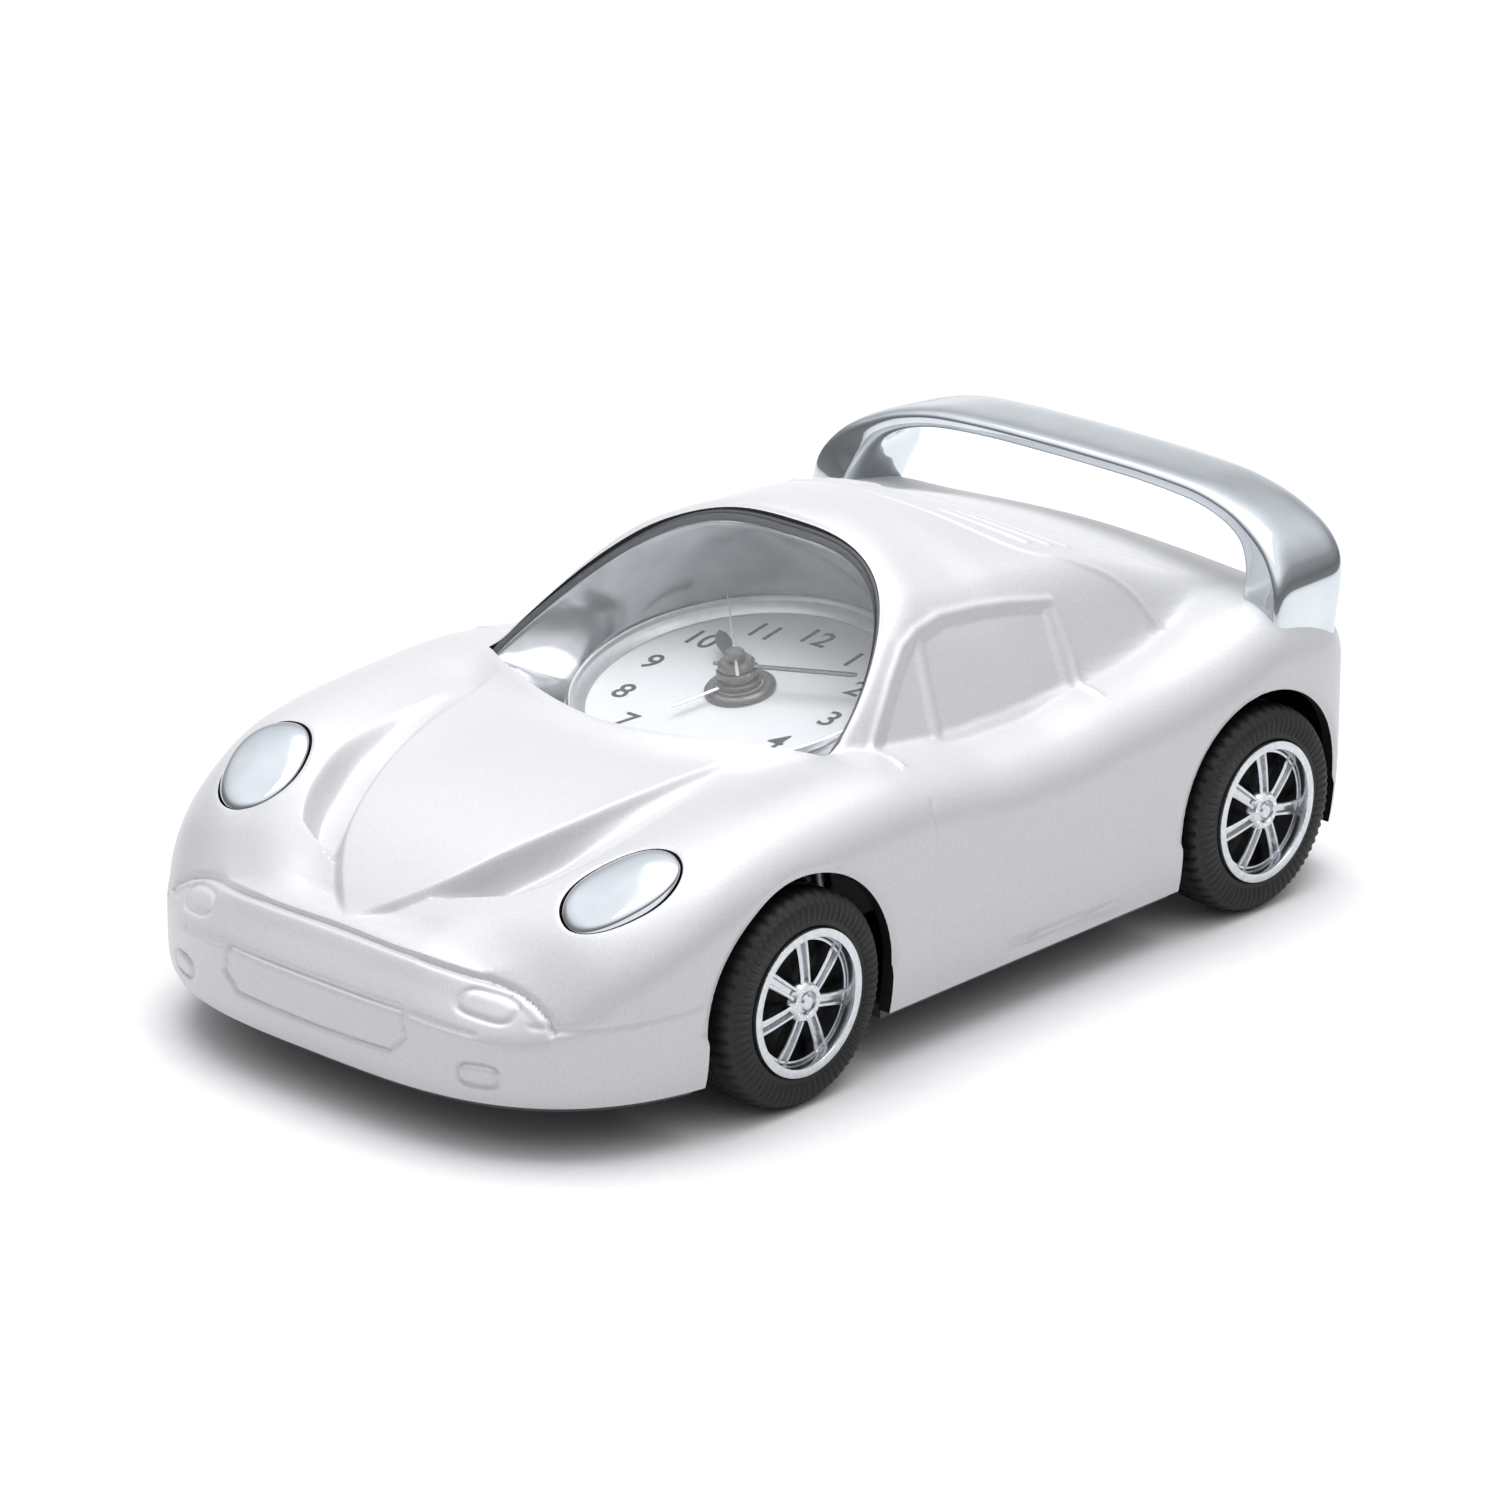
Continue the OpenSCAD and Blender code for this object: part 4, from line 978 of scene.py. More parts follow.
    def half_skin(self) -> tuple[np.ndarray, list[np.ndarray]]:
        """The outer half skin on a lattice that is split finer wherever a mark passes.

        Returns:
            Points, and face groups in which a coarse cell beside a fine one carries the extra points.
        """
        form, k, marks = self.form, self.split, self.marks()
        nu, nr = self.cells_round, form.rows
        ci, cj = np.meshgrid(np.arange(nu), np.arange(nr), indexing="ij")
        middle = form.skin((ci.ravel() + 0.5) / nu, cj.ravel() + 0.5)
        fine = np.zeros(nu * nr, bool)
        for mark in marks:
            reach = max(self.mark_reach, mark.reach)
            hit = mark.near(middle, reach + 0.5)
            fine[hit] |= mark.distance(middle[hit]) < reach
        fine = fine.reshape(nu, nr)
        fine[:, 0] = False
        used = np.zeros((nu * k + 1, nr * k + 1), bool)
        used[::k, ::k] = True
        for a in range(k + 1):
            for b in range(k + 1):
                used[a:nu * k + a - k + 1:k, b:nr * k + b - k + 1:k] |= fine
        number = np.cumsum(used).reshape(used.shape) - 1
        gi, gj = np.nonzero(used)
        u, row = gi / (nu * k), gj / k
        points = form.skin(u, row)
        lift = sum(mark.press(points) for mark in marks)
        points = points + form.normal(u, row) * (lift * np.clip(row, 0, 1))[:, None]
        points = np.clip(points, (0, -form.half_length, form.sill), (form.half_width, form.half_length,
                                                                     form.highest))

        fi, fj = np.nonzero(fine)
        a, b = (g.ravel() for g in np.meshgrid(np.arange(k), np.arange(k), indexing="ij"))
        i, j = fi[:, None] * k + a, fj[:, None] * k + b
        faces = [np.stack([number[i, j], number[i + 1, j], number[i + 1, j + 1], number[i, j + 1]],
                          -1).reshape(-1, 4)]
        padded = np.pad(fine, 1)
        beside = [padded[1:-1, :-2], padded[2:, 1:-1], padded[1:-1, 2:], padded[:-2, 1:-1]]
        code = sum(side.astype(int) << n for n, side in enumerate(beside))
        for flags in range(16):
            li, lj = np.nonzero(~fine & (code == flags))
            if not len(li):
                continue
            walk = []
            for n, (start, way) in enumerate((((0, 0), (1, 0)), ((k, 0), (0, 1)), ((k, k), (-1, 0)),
                                              ((0, k), (0, -1)))):
                walk += [(start[0] + way[0] * s, start[1] + way[1] * s)
                         for s in range(k if flags >> n & 1 else 1)]
            wi, wj = np.array(walk).T
            faces.append(number[li[:, None] * k + wi, lj[:, None] * k + wj])
        return points, faces

    def half_lining(self) -> tuple[np.ndarray, list[np.ndarray]]:
        """The inner half skin and the strip that joins it to the outer one at the sill.

        Returns:
            Points, and the face groups of the lining and of the strip.
        """
        form, nu = self.form, self.cells_round
        rows = np.linspace(0, form.rows, 21)
        i, r = np.meshgrid(np.arange(nu + 1) / nu, rows, indexing="ij")
        inner = form.skin(i.ravel(), r.ravel(), self.wall)
        outer = form.skin(np.arange(nu + 1) / nu, np.zeros(nu + 1))
        count = len(rows)
        a, b = (g.ravel() for g in np.meshgrid(np.arange(nu), np.arange(count - 1), indexing="ij"))
        corner = a * count + b
        lining = np.stack([corner, corner + 1, corner + count + 1, corner + count], -1)
        base, s = len(inner), np.arange(nu)
        strip = np.stack([base + s, s * count, (s + 1) * count, base + s + 1], -1)
        return np.concatenate([inner, outer]), [lining, strip]

    def build(self) -> None:
        """Makes the shell, cuts its openings and dresses it."""
        parts, slots = [], []
        # slot 1 is black: painted shade over the inner skin and, from the tools, over the cut walls of the
        # openings
        for (points, faces), slot in ((self.half_skin(), 0), (self.half_lining(), 1)):
            parts += [(points, faces), (points * (-1, 1, 1), [f[:, ::-1] for f in faces])]
            slots += [slot] * (2 * len(faces))
        points, faces = join(*parts)
        shell = write_mesh("body_shell_painted", points, faces, self.crease_deg, 1e-3, slots)
        for finish in (SILVER_PAINT, BLACK_ABS_AND_PAINTED_SHADE):
            shell.data.materials.append(finish.make())
        tools = [prism("screen_tool", self.screen.outline(), *self.screen_cut)]
        for side in SIDES.values():
            tools.append(prism("lamp_tool", self.lamp_outline(0.2) * (side, 1), *self.lamp_cut))
            for y in self.axle_places:
                low, high = (side * x for x in self.arch_cut)
                tools.append(prism("arch_tool", self.arch_outline(y), low, high, "x"))
        cut(shell, tools)
        shade(shell.data, self.crease_deg)
        dress(shell, (SILVER_PAINT, BLACK_ABS_AND_PAINTED_SHADE), "root", ["body_shell"])


# ---- rear wing and lamps ---------------------------------------------------------------------------

@dataclass
class RearWing:
    """The chromed wing: one blade that bends down at each end and stands on the haunches."""

    outer: tuple[tuple[float, float], ...] = ((0, 49.2), (10, 49.1), (20, 48.7), (27, 47.6), (32.5, 45.7),
                                              (36.4, 42.8), (38.7, 38.6), (39.3, 31.2))
    inner: tuple[tuple[float, float], ...] = ((0, 46.4), (10, 46.3), (20, 45.7), (26, 44.4), (29.8, 42.3),
                                              (31.6, 39.9), (32.4, 37.6), (33.0, 33.0))
    front: tuple[float, ...] = (59.4, 59.4, 59.3, 58.8, 57.8, 56.6, 55.4, 54.4)
    rear: tuple[float, ...] = (70.4, 70.4, 70.4, 70.3, 70.2, 69.7, 68.4, 66.3)
    stations: int = 121
    points_round: int = 64

    def build(self) -> None:
        """Makes the wing.

        Station s runs from tip to tip. Each section is a superellipse in the chord c and the thickness
        between the inner and outer lines, of power 3.2 in the blade and 7 in the posts, which look like
        blocks. The blade thins to its rear edge by 1 - 0.5 c.
        """
        knots = range(len(self.outer))
        along = np.linspace(-knots[-1], knots[-1], self.stations)
        s, side = np.abs(along), np.sign(along)[:, None]
        ox, oz, ix, iz = (Line(*zip(knots, np.array(line)[:, c]))(s)[:, None]
                          for line in (self.outer, self.inner) for c in (0, 1))
        y0, y1 = (Line(*zip(knots, line))(s)[:, None] for line in (self.front, self.rear))
        a = np.arange(self.points_round) * 2 * np.pi / self.points_round
        post = step01(3.6, 5.6, s)[:, None]
        power = 2 / (3.2 + 3.8 * post)
        chord = 0.5 - 0.5 * powered(np.cos(a), power)
        thick = powered(np.sin(a), power)
        thin = 1 - 0.5 * chord * (1 - post)
        share = 0.75 - 0.25 * thin + 0.5 * thick * thin
        x = ix + (ox - ix) * share
        z = iz + (oz - iz) * share
        y = y0 + (y1 - y0) * chord
        points, faces = loft(np.stack([side * x, y, z], -1))
        wing = write_mesh("rear_wing_chromed", points, faces, 40)
        dress(wing, (CHROME,), "root", ["rear_wing"])


@dataclass
class Headlights:
    """Two chromed ovals let into the fenders, each in a gap whose black cut walls are painted shade."""

    shell: BodyShell
    proud: float = 0.42
    deep: float = 2.4

    def build(self) -> None:
        """Makes each insert: rings that climb the wall, roll over the edge and close in a shallow dome."""
        shares = [(1.0, -self.deep), (1.0, -0.35), (0.985, -0.1), (0.95, 0.1), (0.9, 0.22)]
        shares += [(k, self.proud - 0.2 * k ** 2) for k in (0.8, 0.65, 0.5, 0.35, 0.2, 0.08)]
        form = self.shell.form
        centre = np.array(self.shell.lamp_place)
        base = self.shell.lamp_outline(-0.05)
        for name, side in SIDES.items():
            rings = []
            for k, lift in shares:
                flat = centre + (base - centre) * k
                rings.append(np.column_stack([flat, form.height(flat[:, 0], flat[:, 1]) + lift]))
            points, faces = loft(np.array(rings))
            lamp = write_mesh(f"headlight_{name}_insert", points * (side, 1, 1), faces, 50)
            dress(lamp, (CHROME,), "root", [f"headlight_{name}"])


# ---- windscreen and clock face ---------------------------------------------------------------------

@dataclass
class Dial:
    """The dial's place: tilted towards the front of the car."""

    tilt_deg: float = 11.2
    centre: tuple[float, float, float] = (0.0, 0.8, 31.9)
    radius: float = 19.6

    def to_car(self, points: np.ndarray) -> np.ndarray:
        """Turns points about x by the tilt and moves them to the dial's centre.

        Args:
            points: Places in the dial's frame.
        Returns:
            The same places in the car.
        """
        t = math.radians(self.tilt_deg)
        turn = np.array([[1, 0, 0], [0, math.cos(t), -math.sin(t)], [0, math.sin(t), math.cos(t)]])
        return points @ turn.T + self.centre


@dataclass
class Windscreen:
    """Clear lens, the gasket round it and the polished bowl that runs down to the bezel."""

    screen: Screen
    dial: Dial
    bowl_steps: int = 16
    bowl_points: int = 180
    bead_points: int = 240

    def on_lens(self, flat: np.ndarray, lift: Any) -> np.ndarray:
        """Places on the lens surface, lifted straight up."""
        return np.column_stack([flat, lens_height(flat[:, 0], flat[:, 1]) + lift])

    def lens(self) -> None:
        """The lens: an upper and a lower skin of shrinking outlines, 1 mm apart."""
        base = self.screen.outline(-0.55)
        middle = np.array(self.screen.middle)
        rings = [self.on_lens(middle + (base - middle) * k, lift)
                 for lift, shares in ((-0.9, np.linspace(0.03, 1, 16)), (0.12, np.linspace(1, 0.03, 16)))
                 for k in shares]
        points, faces = loft(np.array(rings))
        piece = write_mesh("windscreen_lens", points, faces, 50)
        dress(piece, (LENS,), "root", ["windscreen"])

    def gasket(self) -> None:
        """The gasket: a rounded bead that stands proud over the arch and sinks along the lower edge."""
        profile = rounded([(0.1, -1.4), (0.1, 0.22), (-0.42, 0.16), (-0.42, -1.4)], 0.14)
        rings = []
        for grow, lift in profile:
            flat = self.screen.outline(grow, self.bead_points)
            sink = 0.75 * (1 - step01(-16.5, -12.5, flat[:, 1]))
            rings.append(self.on_lens(flat, lift - sink * (lift > 0)))
        points = np.array(rings).reshape(-1, 3)
        piece = write_mesh("windscreen_gasket_bead", points, [tube_faces(len(rings), self.bead_points)], 60)
        dress(piece, (GASKET,), "root", ["windscreen_gasket"])

    def bowl(self) -> None:
        """The bowl: its wall runs straight from the bezel to the lens, bulged outwards by sin(pi t)."""
        count = self.bowl_points
        loop = self.screen.outline(-0.75, count)
        angle = np.arctan2(loop[:, 1] - self.dial.centre[1], loop[:, 0])
        top = self.on_lens(loop, -1.0)

        def foot(radius: float, height: float) -> np.ndarray:
            """A ring round the dial, with a point facing each point of the lens outline."""
            ring = np.column_stack([radius * np.cos(angle), radius * np.sin(angle), np.full(count, height)])
            return self.dial.to_car(ring)

        low, back = foot(21.0, 0.9), foot(22.6, -0.3)
        rim = self.on_lens(self.screen.outline(-0.1, count), -1.5)
        rings = [self.screen.push(low * (1 - t) + top * t, 0.8 * math.sin(math.pi * t))
                 for t in np.linspace(0, 1, self.bowl_steps)]
        rings += [self.on_lens(loop, -0.7), rim]
        rings += [self.screen.push(back * (1 - t) + rim * t, 0.9 + 0.8 * math.sin(math.pi * t))
                  for t in np.linspace(0.9, 0.1, 5)]
        rings += [back, foot(21.0, -0.3)]
        points = np.array(rings).reshape(-1, 3)
        piece = write_mesh("dial_bowl_polished", points, [tube_faces(len(rings), count)], 50)
        dress(piece, (SATIN_CHROME,), "root", ["dial_surround"])

    def build(self) -> None:
        """Makes the three pieces."""
        self.bowl()
        self.gasket()
        self.lens()


@dataclass
class ClockFace:
    """Bezel ring, dial card and printed numerals."""

    dial: Dial
    numeral_size: float = 4.7
    numeral_radius: float = 14.6

    def bezel(self) -> None:
        """The bezel: a bright outer bead, a step and a band that slopes to the card."""
        r = self.dial.radius
        profile = [(r - 0.75, 0.06), (r - 0.72, 0.2), (r - 0.5, 0.42), (r + 0.35, 1.15), (r + 0.48, 1.2),
                   (r + 0.52, 1.5), (r + 0.66, 1.75), (r + 0.86, 1.84), (r + 1.06, 1.75), (r + 1.18, 1.5),
                   (r + 1.2, 1.1), (r + 1.2, -0.8), (r + 0.15, -0.8), (r + 0.15, 0.06)]
        points, faces = turned(profile, 160)
        piece = write_mesh("dial_bezel_ring", self.dial.to_car(points), faces, 32)
        dress(piece, (PEARL_CHROME,), "root", ["dial_bezel"])

    def card(self) -> None:
        """The card: a thin disc with the hole for the post."""
        r = self.dial.radius
        points, faces = turned([(3.0, -0.7), (3.0, 0.0), (10.0, 0.0), (r, 0.0), (r, -0.7)], 128)
        piece = write_mesh("dial_card", self.dial.to_car(points), faces)
        dress(piece, (DIAL_CARD,), "root", ["dial"])

    def numerals(self) -> None:
        """The hour numbers: text made a mesh, then laid on the card at thirty-degree steps."""
        solids = []
        for hour in range(1, 13):
            curve = bpy.data.curves.new("numeral", "FONT")
            curve.body, curve.size = str(hour), self.numeral_size
            curve.extrude, curve.offset = 0.015, 0.06
            curve.align_x, curve.align_y = "CENTER", "CENTER"
            holder = bpy.data.objects.new("numeral", curve)
            bpy.context.scene.collection.objects.link(holder)
            bpy.context.view_layer.update()
            graph = bpy.context.evaluated_depsgraph_get()
            mesh = bpy.data.meshes.new_from_object(holder.evaluated_get(graph))
            points = np.zeros(len(mesh.vertices) * 3)
            mesh.vertices.foreach_get("co", points)
            points = points.reshape(-1, 3)
            mesh.calc_loop_triangles()
            triangles = np.zeros(len(mesh.loop_triangles) * 3, int)
            mesh.loop_triangles.foreach_get("vertices", triangles)
            middle = (points.min(0) + points.max(0)) / 2
            angle = math.radians(30 * hour)
            r = self.numeral_radius
            place = (r * math.sin(angle), r * math.cos(angle) * 0.985, 0.02)
            solids.append((points - middle + place, [triangles.reshape(-1, 3)]))
            bpy.data.objects.remove(holder)
            bpy.data.meshes.remove(mesh)
        points, faces = join(*solids)
        piece = write_mesh("dial_numerals", self.dial.to_car(points), faces, 20)
        dress(piece, (DIAL_INK,), "root")

    def build(self) -> None:
        """Makes the ring, the card and the numbers."""
        self.bezel()
        self.card()
        self.numerals()


@dataclass
class Hand:
    """One hand: a ridged blade and a turned boss.

    The blade has a flat back and a raised middle line that catches the light. Its outline is pairs of place
    along the hand and half width. The boss is a turned profile, scalloped round its widest part by
    1 - 0.05 (1 + cos(n a)) / 2 for n scallops.
    """

    name: str
    node: str
    body: str
    finish: Finish
    degrees: float
    outline: tuple[tuple[float, float], ...]
    level: float
    thick: float
    boss: tuple[tuple[float, float], ...]
    scallops: int = 0

    def build(self, dial: Dial) -> None:
        """Makes the hand on the dial, turned clockwise from twelve.

        Args:
            dial: The dial that it turns on.
        """
        side, top = self.thick * 0.55, self.thick
        section = np.array([(-1, 0), (1, 0), (1, side), (0.15, top), (-0.15, top), (-1, side)])
        rings = [np.column_stack([section[:, 0] * wide, np.full(len(section), along), section[:, 1]])
                 for along, wide in self.outline]
        blade, faces = loft(np.array(rings))
        blade = about_z(blade, math.radians(-self.degrees)) + (0, 0, self.level)
        steps = 96
        boss, boss_faces = turned(self.boss, steps)
        if self.scallops:
            grid = boss.reshape(steps, -1, 3)
            angle = np.arange(steps) * 2 * np.pi / steps
            radius = np.hypot(grid[..., 0], grid[..., 1])
            wave = 0.5 + 0.5 * np.cos(self.scallops * angle)
            dip = 1 - 0.05 * wave[:, None] * (radius > radius.max() * 0.93)
            grid[..., :2] *= dip[..., None]
        points, groups = join((blade, faces), (boss, boss_faces))
        slots = [0] * len(faces) + [1] * len(boss_faces)
        piece = write_mesh(self.name, dial.to_car(points), groups, 30, face_slots=slots)
        dress(piece, (self.finish, BOSS), self.body, [self.node])


def hand_stack(dial: Dial) -> None:
    """The nut on the card and the four hands above it, each on its own body.

    Args:
        dial: The dial that carries them.
    """
    nut, faces = turned(rounded([(2.95, 0.0), (4.4, 0.0), (4.4, 0.55), (3.9, 0.95), (2.95, 0.95)], 0.2), 96)
    piece = write_mesh("dial_nut_turned", dial.to_car(nut), faces, 40)
    dress(piece, (BOSS,), "root", ["dial_nut"])
    Hand("alarm_hand_needle", "alarm_hand", "alarm_body", HAND_BARE, 198,
         ((0.0, 0.3), (2.4, 0.3), (8.6, 0.26), (9.5, 0.06)), 1.25, 0.22,
         ((1.96, 1.2), (2.85, 1.2), (2.85, 1.65), (2.7, 1.8), (1.96, 1.8))).build(dial)
    Hand("hour_hand_blade", "hour_hand", "hour_body", HAND_LACQUER, 305.9,
         ((-2.4, 0.3), (0.0, 0.4), (3.0, 0.5), (8.2, 1.0), (10.4, 0.75), (11.4, 0.08)), 2.3, 0.28,
         ((1.46, 2.1), (2.2, 2.1), (2.6, 2.3), (2.62, 2.9), (2.4, 3.04), (1.46, 3.04)), 14).build(dial)
    Hand("minute_hand_blade", "minute_hand", "minute_body", HAND_LACQUER, 70.5,
         ((-3.0, 0.3), (0.0, 0.36), (6.0, 0.42), (15.0, 0.46), (15.7, 0.3)), 3.35, 0.28,
         ((0.96, 3.12), (2.0, 3.12), (2.3, 3.3), (2.3, 3.8), (1.9, 4.2), (0.96, 4.24)), 10).build(dial)
    Hand("second_hand_needle", "second_hand", "second_body", HAND_BARE, 314,
         ((-5.0, 0.22), (0.0, 0.16), (14.0, 0.1), (16.3, 0.05)), 4.6, 0.16,
         ((0.0, 4.34), (1.1, 4.34), (1.2, 4.5), (1.2, 5.2), (1.0, 5.42), (0.0, 5.46))).build(dial)


# ---- wheels ----------------------------------------------------------------------------------------

@dataclass
class Wheel:
    """One road wheel: plated rim with seven grooved spokes, and its moulded tyre.

    It is drawn with the axle along z and the outer face at z = 0, then turned so that z points outwards.
    """

    corner: str
    side: float
    axle_y: float
    body: str
    axle_height: float = 13.1
    face_x: float = 41.75
    rim: float = 9.0
    tyre: float = 13.1
    tyre_width: float = 9.0
    spokes: int = 7
    ribs: int = 72
    rib_height: float = 0.2
    groove_depth: float = 0.22
    lug_radius: float = 1.82

    def to_car(self, points: np.ndarray) -> np.ndarray:
        """Maps (x, y, z) of the wheel to (side (face + z), axle + y, height - x).

        Args:
            points: Places in the wheel's frame.
        Returns:
            The same places in the car.
        """
        return np.column_stack([self.side * (self.face_x + points[:, 2]), self.axle_y + points[:, 1],
                                self.axle_height - points[:, 0]])

    def spoke(self, turn: float) -> tuple[np.ndarray, list[np.ndarray]]:
        """A spoke: two ridges beside a groove, falling from the hub to the inner ring.

        Args:
            turn: Its angle round the axle.
        Returns:
            Points and face groups.
        """
        section = np.array([(-1.0, -1.5), (-0.98, -0.12), (-0.86, 0.0), (-0.5, 0.0), (-0.34, -0.45),
                            (0.34, -0.45), (0.5, 0.0), (0.86, 0.0), (0.98, -0.12), (1.0, -1.5)])
        radius_width_top = ((1.6, 0.85, -0.55), (2.6, 0.8, -0.55), (3.4, 0.8, -0.6), (5.5, 0.88, -0.85),
                            (7.2, 1.0, -1.2), (8.0, 1.05, -1.35))
        points, faces = loft(np.array([
            np.column_stack([np.full(len(section), r), section[:, 0] * wide, top + section[:, 1]])
            for r, wide, top in radius_width_top]))
        return about_z(points, turn), faces

    def build_rim(self) -> None:
        """The rim: flange and barrel, inner ring, a black well behind the spokes as painted shade, spokes,
        faceted hub and small lugs.
        """
        r = self.rim
        flange = turned(rounded([(r - 1.12, -0.02), (r - 0.06, 0.0), (r, -0.75), (r - 0.75, -1.5),
                                 (r - 0.75, -7.0), (r, -7.8), (r, -8.6), (r - 1.3, -8.6), (r - 1.3, -1.1)],
                                0.12, 2), 128)
        ring = turned(rounded([(r - 1.78, -1.75), (r - 1.78, -1.28), (r - 1.42, -1.28), (r - 1.1, -2.1)],
                              0.1, 2), 128)
        hub = turned([(0.0, -0.2), (0.75, -0.22), (1.0, -0.5), (1.35, -0.62), (1.5, -0.3), (2.15, -0.3),
                      (2.55, -0.75), (2.75, -1.6), (2.75, -4.0), (0.0, -4.0)], 2 * self.spokes)
        # painted shade: a black disc behind the spokes, so that the gaps between them look deep
        shade_well = turned([(0.0, -3.4), (r - 1.25, -3.4), (r - 1.25, -8.4), (0.0, -8.4)], 96)
        plated = [flange, ring, hub]
        for n in range(self.spokes):
            turn = math.pi + 2 * math.pi * n / self.spokes
            plated.append(self.spoke(turn))
            lug, faces = turned([(0.0, 0.16), (0.16, 0.13), (0.26, 0.0), (0.26, -0.5), (0.0, -0.5)], 6)
            middle = turn + math.pi / self.spokes
            place = (self.lug_radius * math.cos(middle), self.lug_radius * math.sin(middle), -0.32)
            plated.append((lug + place, faces))
        points, faces = join(*plated, shade_well)
        slots = [0] * (len(faces) - 1) + [1]
        piece = write_mesh(f"rim_{self.corner}_plated", self.to_car(points), faces, 28, face_slots=slots)
        dress(piece, (WHEEL_CHROME, BLACK_ABS_AND_PAINTED_SHADE), self.body, [f"rim_{self.corner}"])

    def build_tyre(self) -> None:
        """The tyre: a turned profile whose side walls carry radial ribs and whose tread is cut into blocks.

        Angle steps number four to a rib: the rib lifts the side wall on two of them. Each tread block takes
        four of six steps, with a groove between blocks and a line groove round the middle of the tread.
        """
        r0, r1 = self.rim, self.tyre
        wall = [(0.02, -1.3), (0.04, -0.62), (0.2, -0.42), (0.55, -0.34), (0.8, -0.36), (0.95, -0.34),
                (1.5, -0.24), (2.2, -0.26), (2.8, -0.42), (3.1, -0.6), (3.25, -0.7), (3.6, -0.95)]
        tread = [(-0.25, -1.3), (-0.08, -1.75), (0, -2.3), (0, -3.6), (0, -4.15), (-0.5, -4.25)]
        outer = [(r0 + r, z) for r, z in wall] + [(r1 + r, z) for r, z in tread]
        profile = np.array(outer + [(r, -self.tyre_width - z) for r, z in outer[::-1]])
        steps = self.ribs * 4
        angle = np.arange(steps) * 2 * np.pi / steps
        r = np.broadcast_to(profile[:, 0], (steps, len(profile))).copy()
        z = np.broadcast_to(profile[:, 1], (steps, len(profile))).copy()
        from_middle = z + self.tyre_width / 2
        rib = (np.arange(steps) % 4 < 2)[:, None]
        walled = (r > r0 + 0.9) & (r < r0 + 3.15)
        z += np.where(rib & walled, self.rib_height * np.sign(from_middle), 0.0)
        groove = (np.arange(steps) % 6 >= 4)[:, None]
        treaded = (r > r0 + 3.5) & (r >= r1 - 0.3) & (np.abs(from_middle) > 0.6)
        r -= np.where(groove & treaded, self.groove_depth, 0.0)
        points = np.stack([r * np.cos(angle)[:, None], r * np.sin(angle)[:, None], z], -1).reshape(-1, 3)
        piece = write_mesh(f"tyre_{self.corner}_moulded", self.to_car(points),
                           [tube_faces(steps, len(profile))], 32)
        dress(piece, (RUBBER,), self.body, [f"tyre_{self.corner}"])

    def build(self) -> None:
        """Makes the rim and the tyre."""
        self.build_rim()
        self.build_tyre()


# ---- carried-over pieces and the studio ------------------------------------------------------------

def dress_frame() -> None:
    """Gives every CAD node the finish of its record slot."""
    slots = {part["node"]: part["material_slot"] for part in frame["record"]["subparts"]}
    for name, node in frame["nodes"].items():
        material = SLOT_FINISH[slots[name]].make()
        if not node.material_slots:
            node.data.materials.append(material)
        for slot in node.material_slots:
            slot.material = material


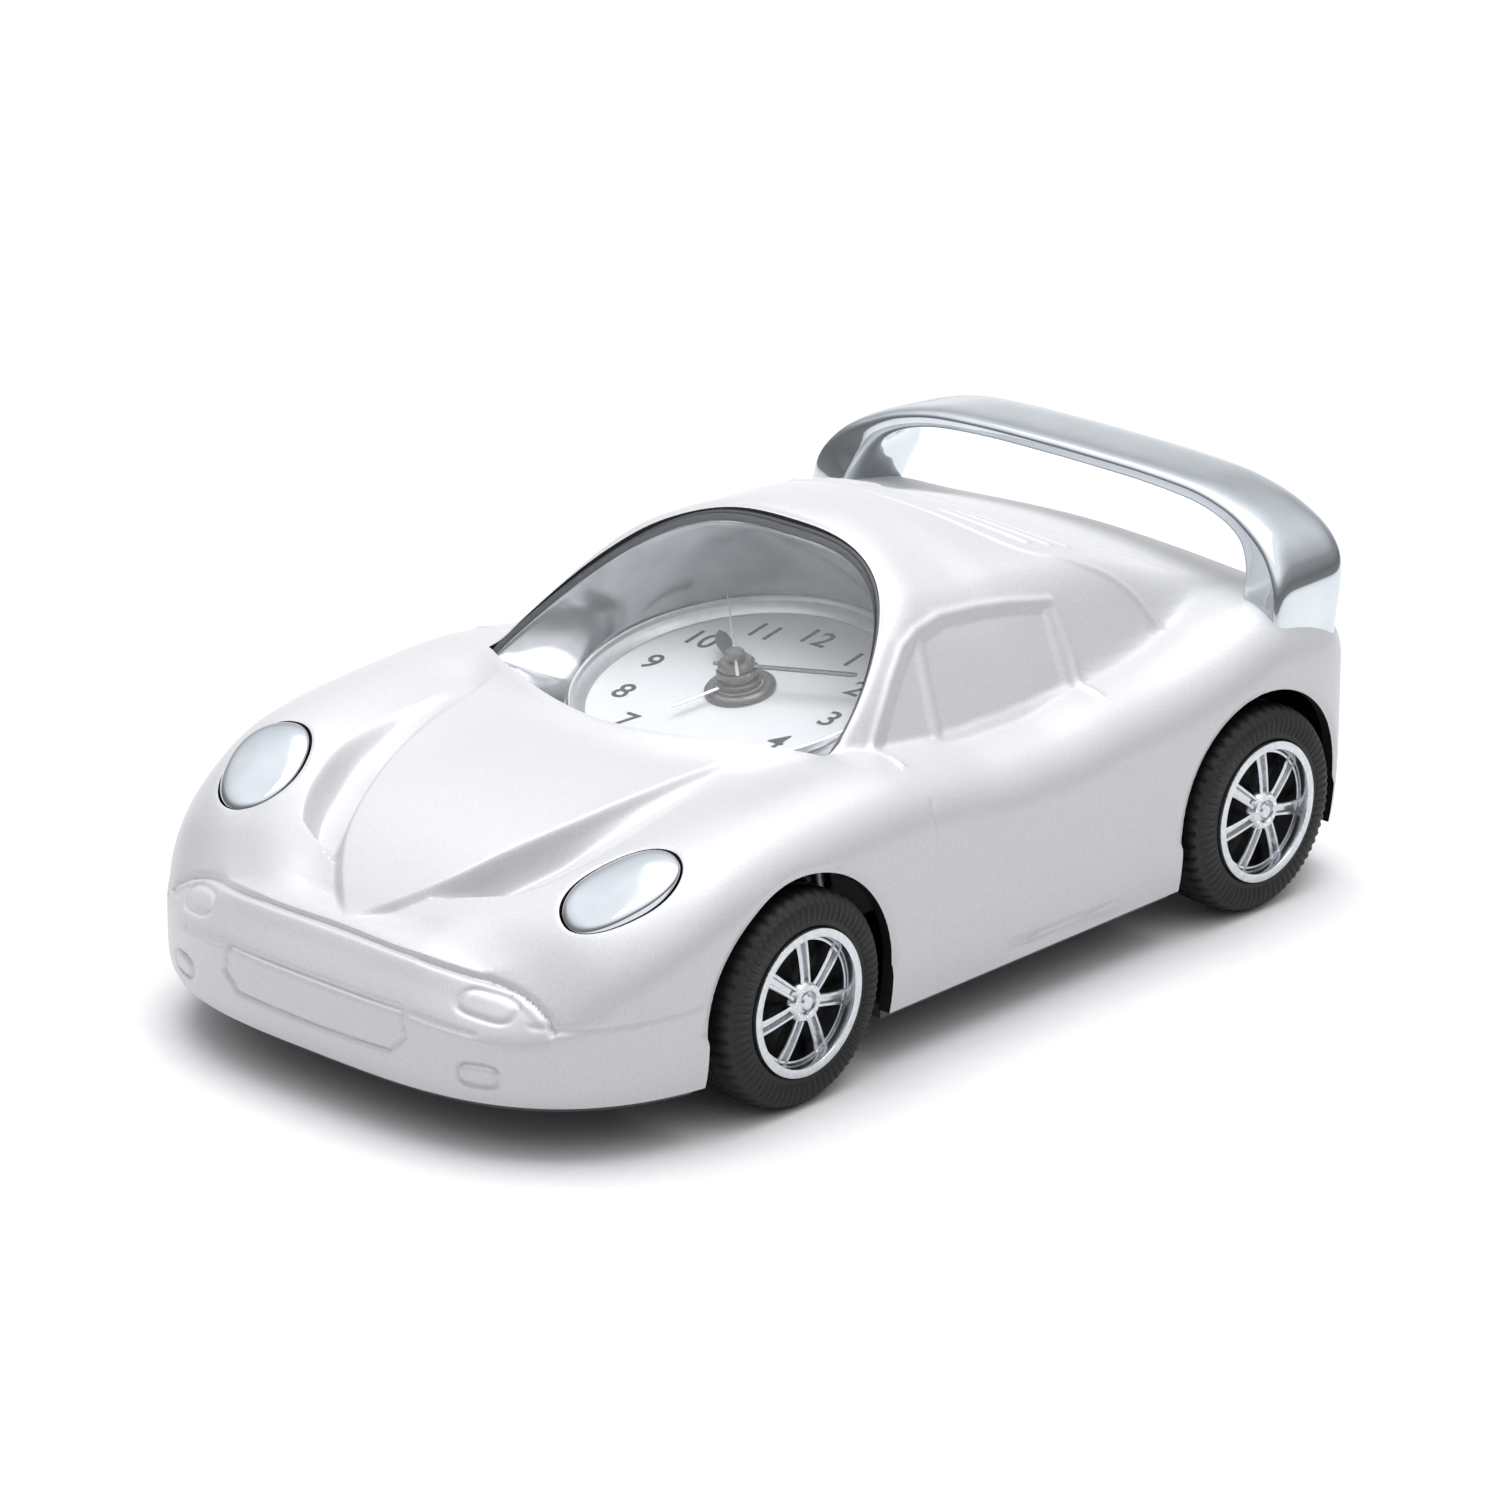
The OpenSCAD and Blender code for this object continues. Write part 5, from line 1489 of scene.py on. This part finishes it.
@dataclass
class Studio:
    """Pale floor, overhead soft light, a grey horizon and the camera."""

    floor_size: float = 6.0
    camera_place: tuple[float, float, float] = (0.55505, -0.59168, 0.33149)
    camera_right: tuple[float, float, float] = (0.7314, 0.6820, 0.0)
    camera_up: tuple[float, float, float] = (-0.2420, 0.2595, 0.9349)
    camera_back: tuple[float, float, float] = (0.6376, -0.6838, 0.3548)
    lens_mm: float = 171.5
    away: tuple[float, float, float] = (-0.682, 0.731, 0.0)
    air_strength: float = 1.4
    lamp_place: tuple[float, float, float] = (-0.1, 0.15, 1.1)
    lamp_size: float = 1.1
    lamp_watts: float = 11.5

    def floor(self) -> None:
        """A large plane at ground level."""
        h = self.floor_size / 2 / MM
        points = np.array([(-h, -h, 0), (h, -h, 0), (h, h, 0), (-h, h, 0)], float)
        plane = write_mesh("studio_floor", points, [np.array([[0, 1, 2, 3]])])
        plane.data.materials.append(FLOOR_PAPER.make())

    def world(self) -> None:
        """Light that fades from a white ceiling to a grey horizon, paler behind the car than before it."""
        world = bpy.data.worlds.new("studio_air")
        bpy.context.scene.world = world
        world.use_nodes = True
        tree = world.node_tree
        tree.nodes.clear()
        way = add_node(tree, "ShaderNodeTexCoord").outputs["Generated"]
        height = add_node(tree, "ShaderNodeSeparateXYZ", {"Vector": way}).outputs["Z"]
        ramp = add_node(tree, "ShaderNodeValToRGB", {"Fac": height})
        stops = ((0.0, "#7c7c7d"), (0.2, "#6c6c6d"), (0.45, "#8f8f91"), (0.75, "#f6f7fa"))
        for index, (place, colour) in enumerate(stops):
            stop = ramp.color_ramp.elements[index] if index < 2 else ramp.color_ramp.elements.new(place)
            stop.position, stop.color = place, linear(colour)
        behind = add_node(tree, "ShaderNodeVectorMath", {0: way, 1: self.away}, operation="DOT_PRODUCT")
        low = add_node(tree, "ShaderNodeMapRange", {"Value": height, "From Min": 0.7, "From Max": 0.1})
        share = add_node(tree, "ShaderNodeMapRange", {
            "Value": behind.outputs["Value"], "From Min": 0.55, "From Max": 0.9, "To Max": 0.8})
        glow = add_node(tree, "ShaderNodeMath", {0: share.outputs["Result"], 1: low.outputs["Result"]},
                        operation="MULTIPLY")
        lit = add_node(tree, "ShaderNodeMix", {
            "Factor": glow.outputs[0], 6: ramp.outputs["Color"], 7: linear("#f4f5f7")}, data_type="RGBA")
        sky = add_node(tree, "ShaderNodeBackground", {"Color": lit.outputs[2], "Strength": self.air_strength})
        add_node(tree, "ShaderNodeOutputWorld", {"Surface": sky.outputs[0]})

    def lamp(self, name: str, place: tuple[float, float, float], size: float, power: float) -> None:
        """An area lamp that looks at the car.

        Args:
            name: Its name.
            place: Where it hangs, in metres.
            size: Length of its side, in metres.
            power: Its power in watts.
        """
        light = bpy.data.lights.new(name, "AREA")
        light.shape, light.size, light.energy = "SQUARE", size, power
        holder = bpy.data.objects.new(name, light)
        holder.location = place
        holder.rotation_euler = (-Vector(place)).to_track_quat("-Z", "Y").to_euler()
        bpy.context.scene.collection.objects.link(holder)

    def camera(self) -> None:
        """The camera, from its three axes."""
        data = bpy.data.cameras.new("camera")
        data.lens, data.sensor_width = self.lens_mm, 36.0
        data.clip_start, data.clip_end = 0.01, 20.0
        holder = bpy.data.objects.new("camera", data)
        axes = Matrix((self.camera_right, self.camera_up, self.camera_back)).transposed().to_4x4()
        holder.matrix_world = Matrix.Translation(self.camera_place) @ axes
        bpy.context.scene.collection.objects.link(holder)
        bpy.context.scene.camera = holder

    def build(self) -> None:
        """Sets up the whole studio."""
        self.floor()
        self.world()
        self.lamp("ceiling_lamp", self.lamp_place, self.lamp_size, self.lamp_watts)
        self.camera()
        bpy.context.scene.view_settings.view_transform = "Standard"


def main() -> None:
    """Builds the car piece by piece."""
    logging.basicConfig(level=logging.INFO, format="%(message)s")
    dress_frame()
    shell, dial = BodyShell(), Dial()
    shell.build()
    RearWing().build()
    Headlights(shell).build()
    Windscreen(shell.screen, dial).build()
    ClockFace(dial).build()
    hand_stack(dial)
    for end, y in zip(("front", "rear"), shell.axle_places):
        for name, side in SIDES.items():
            Wheel(f"{end}_{name}", side, y, f"{end}_wheels").build()
    Studio().build()


if __name__ == "__main__":
    main()
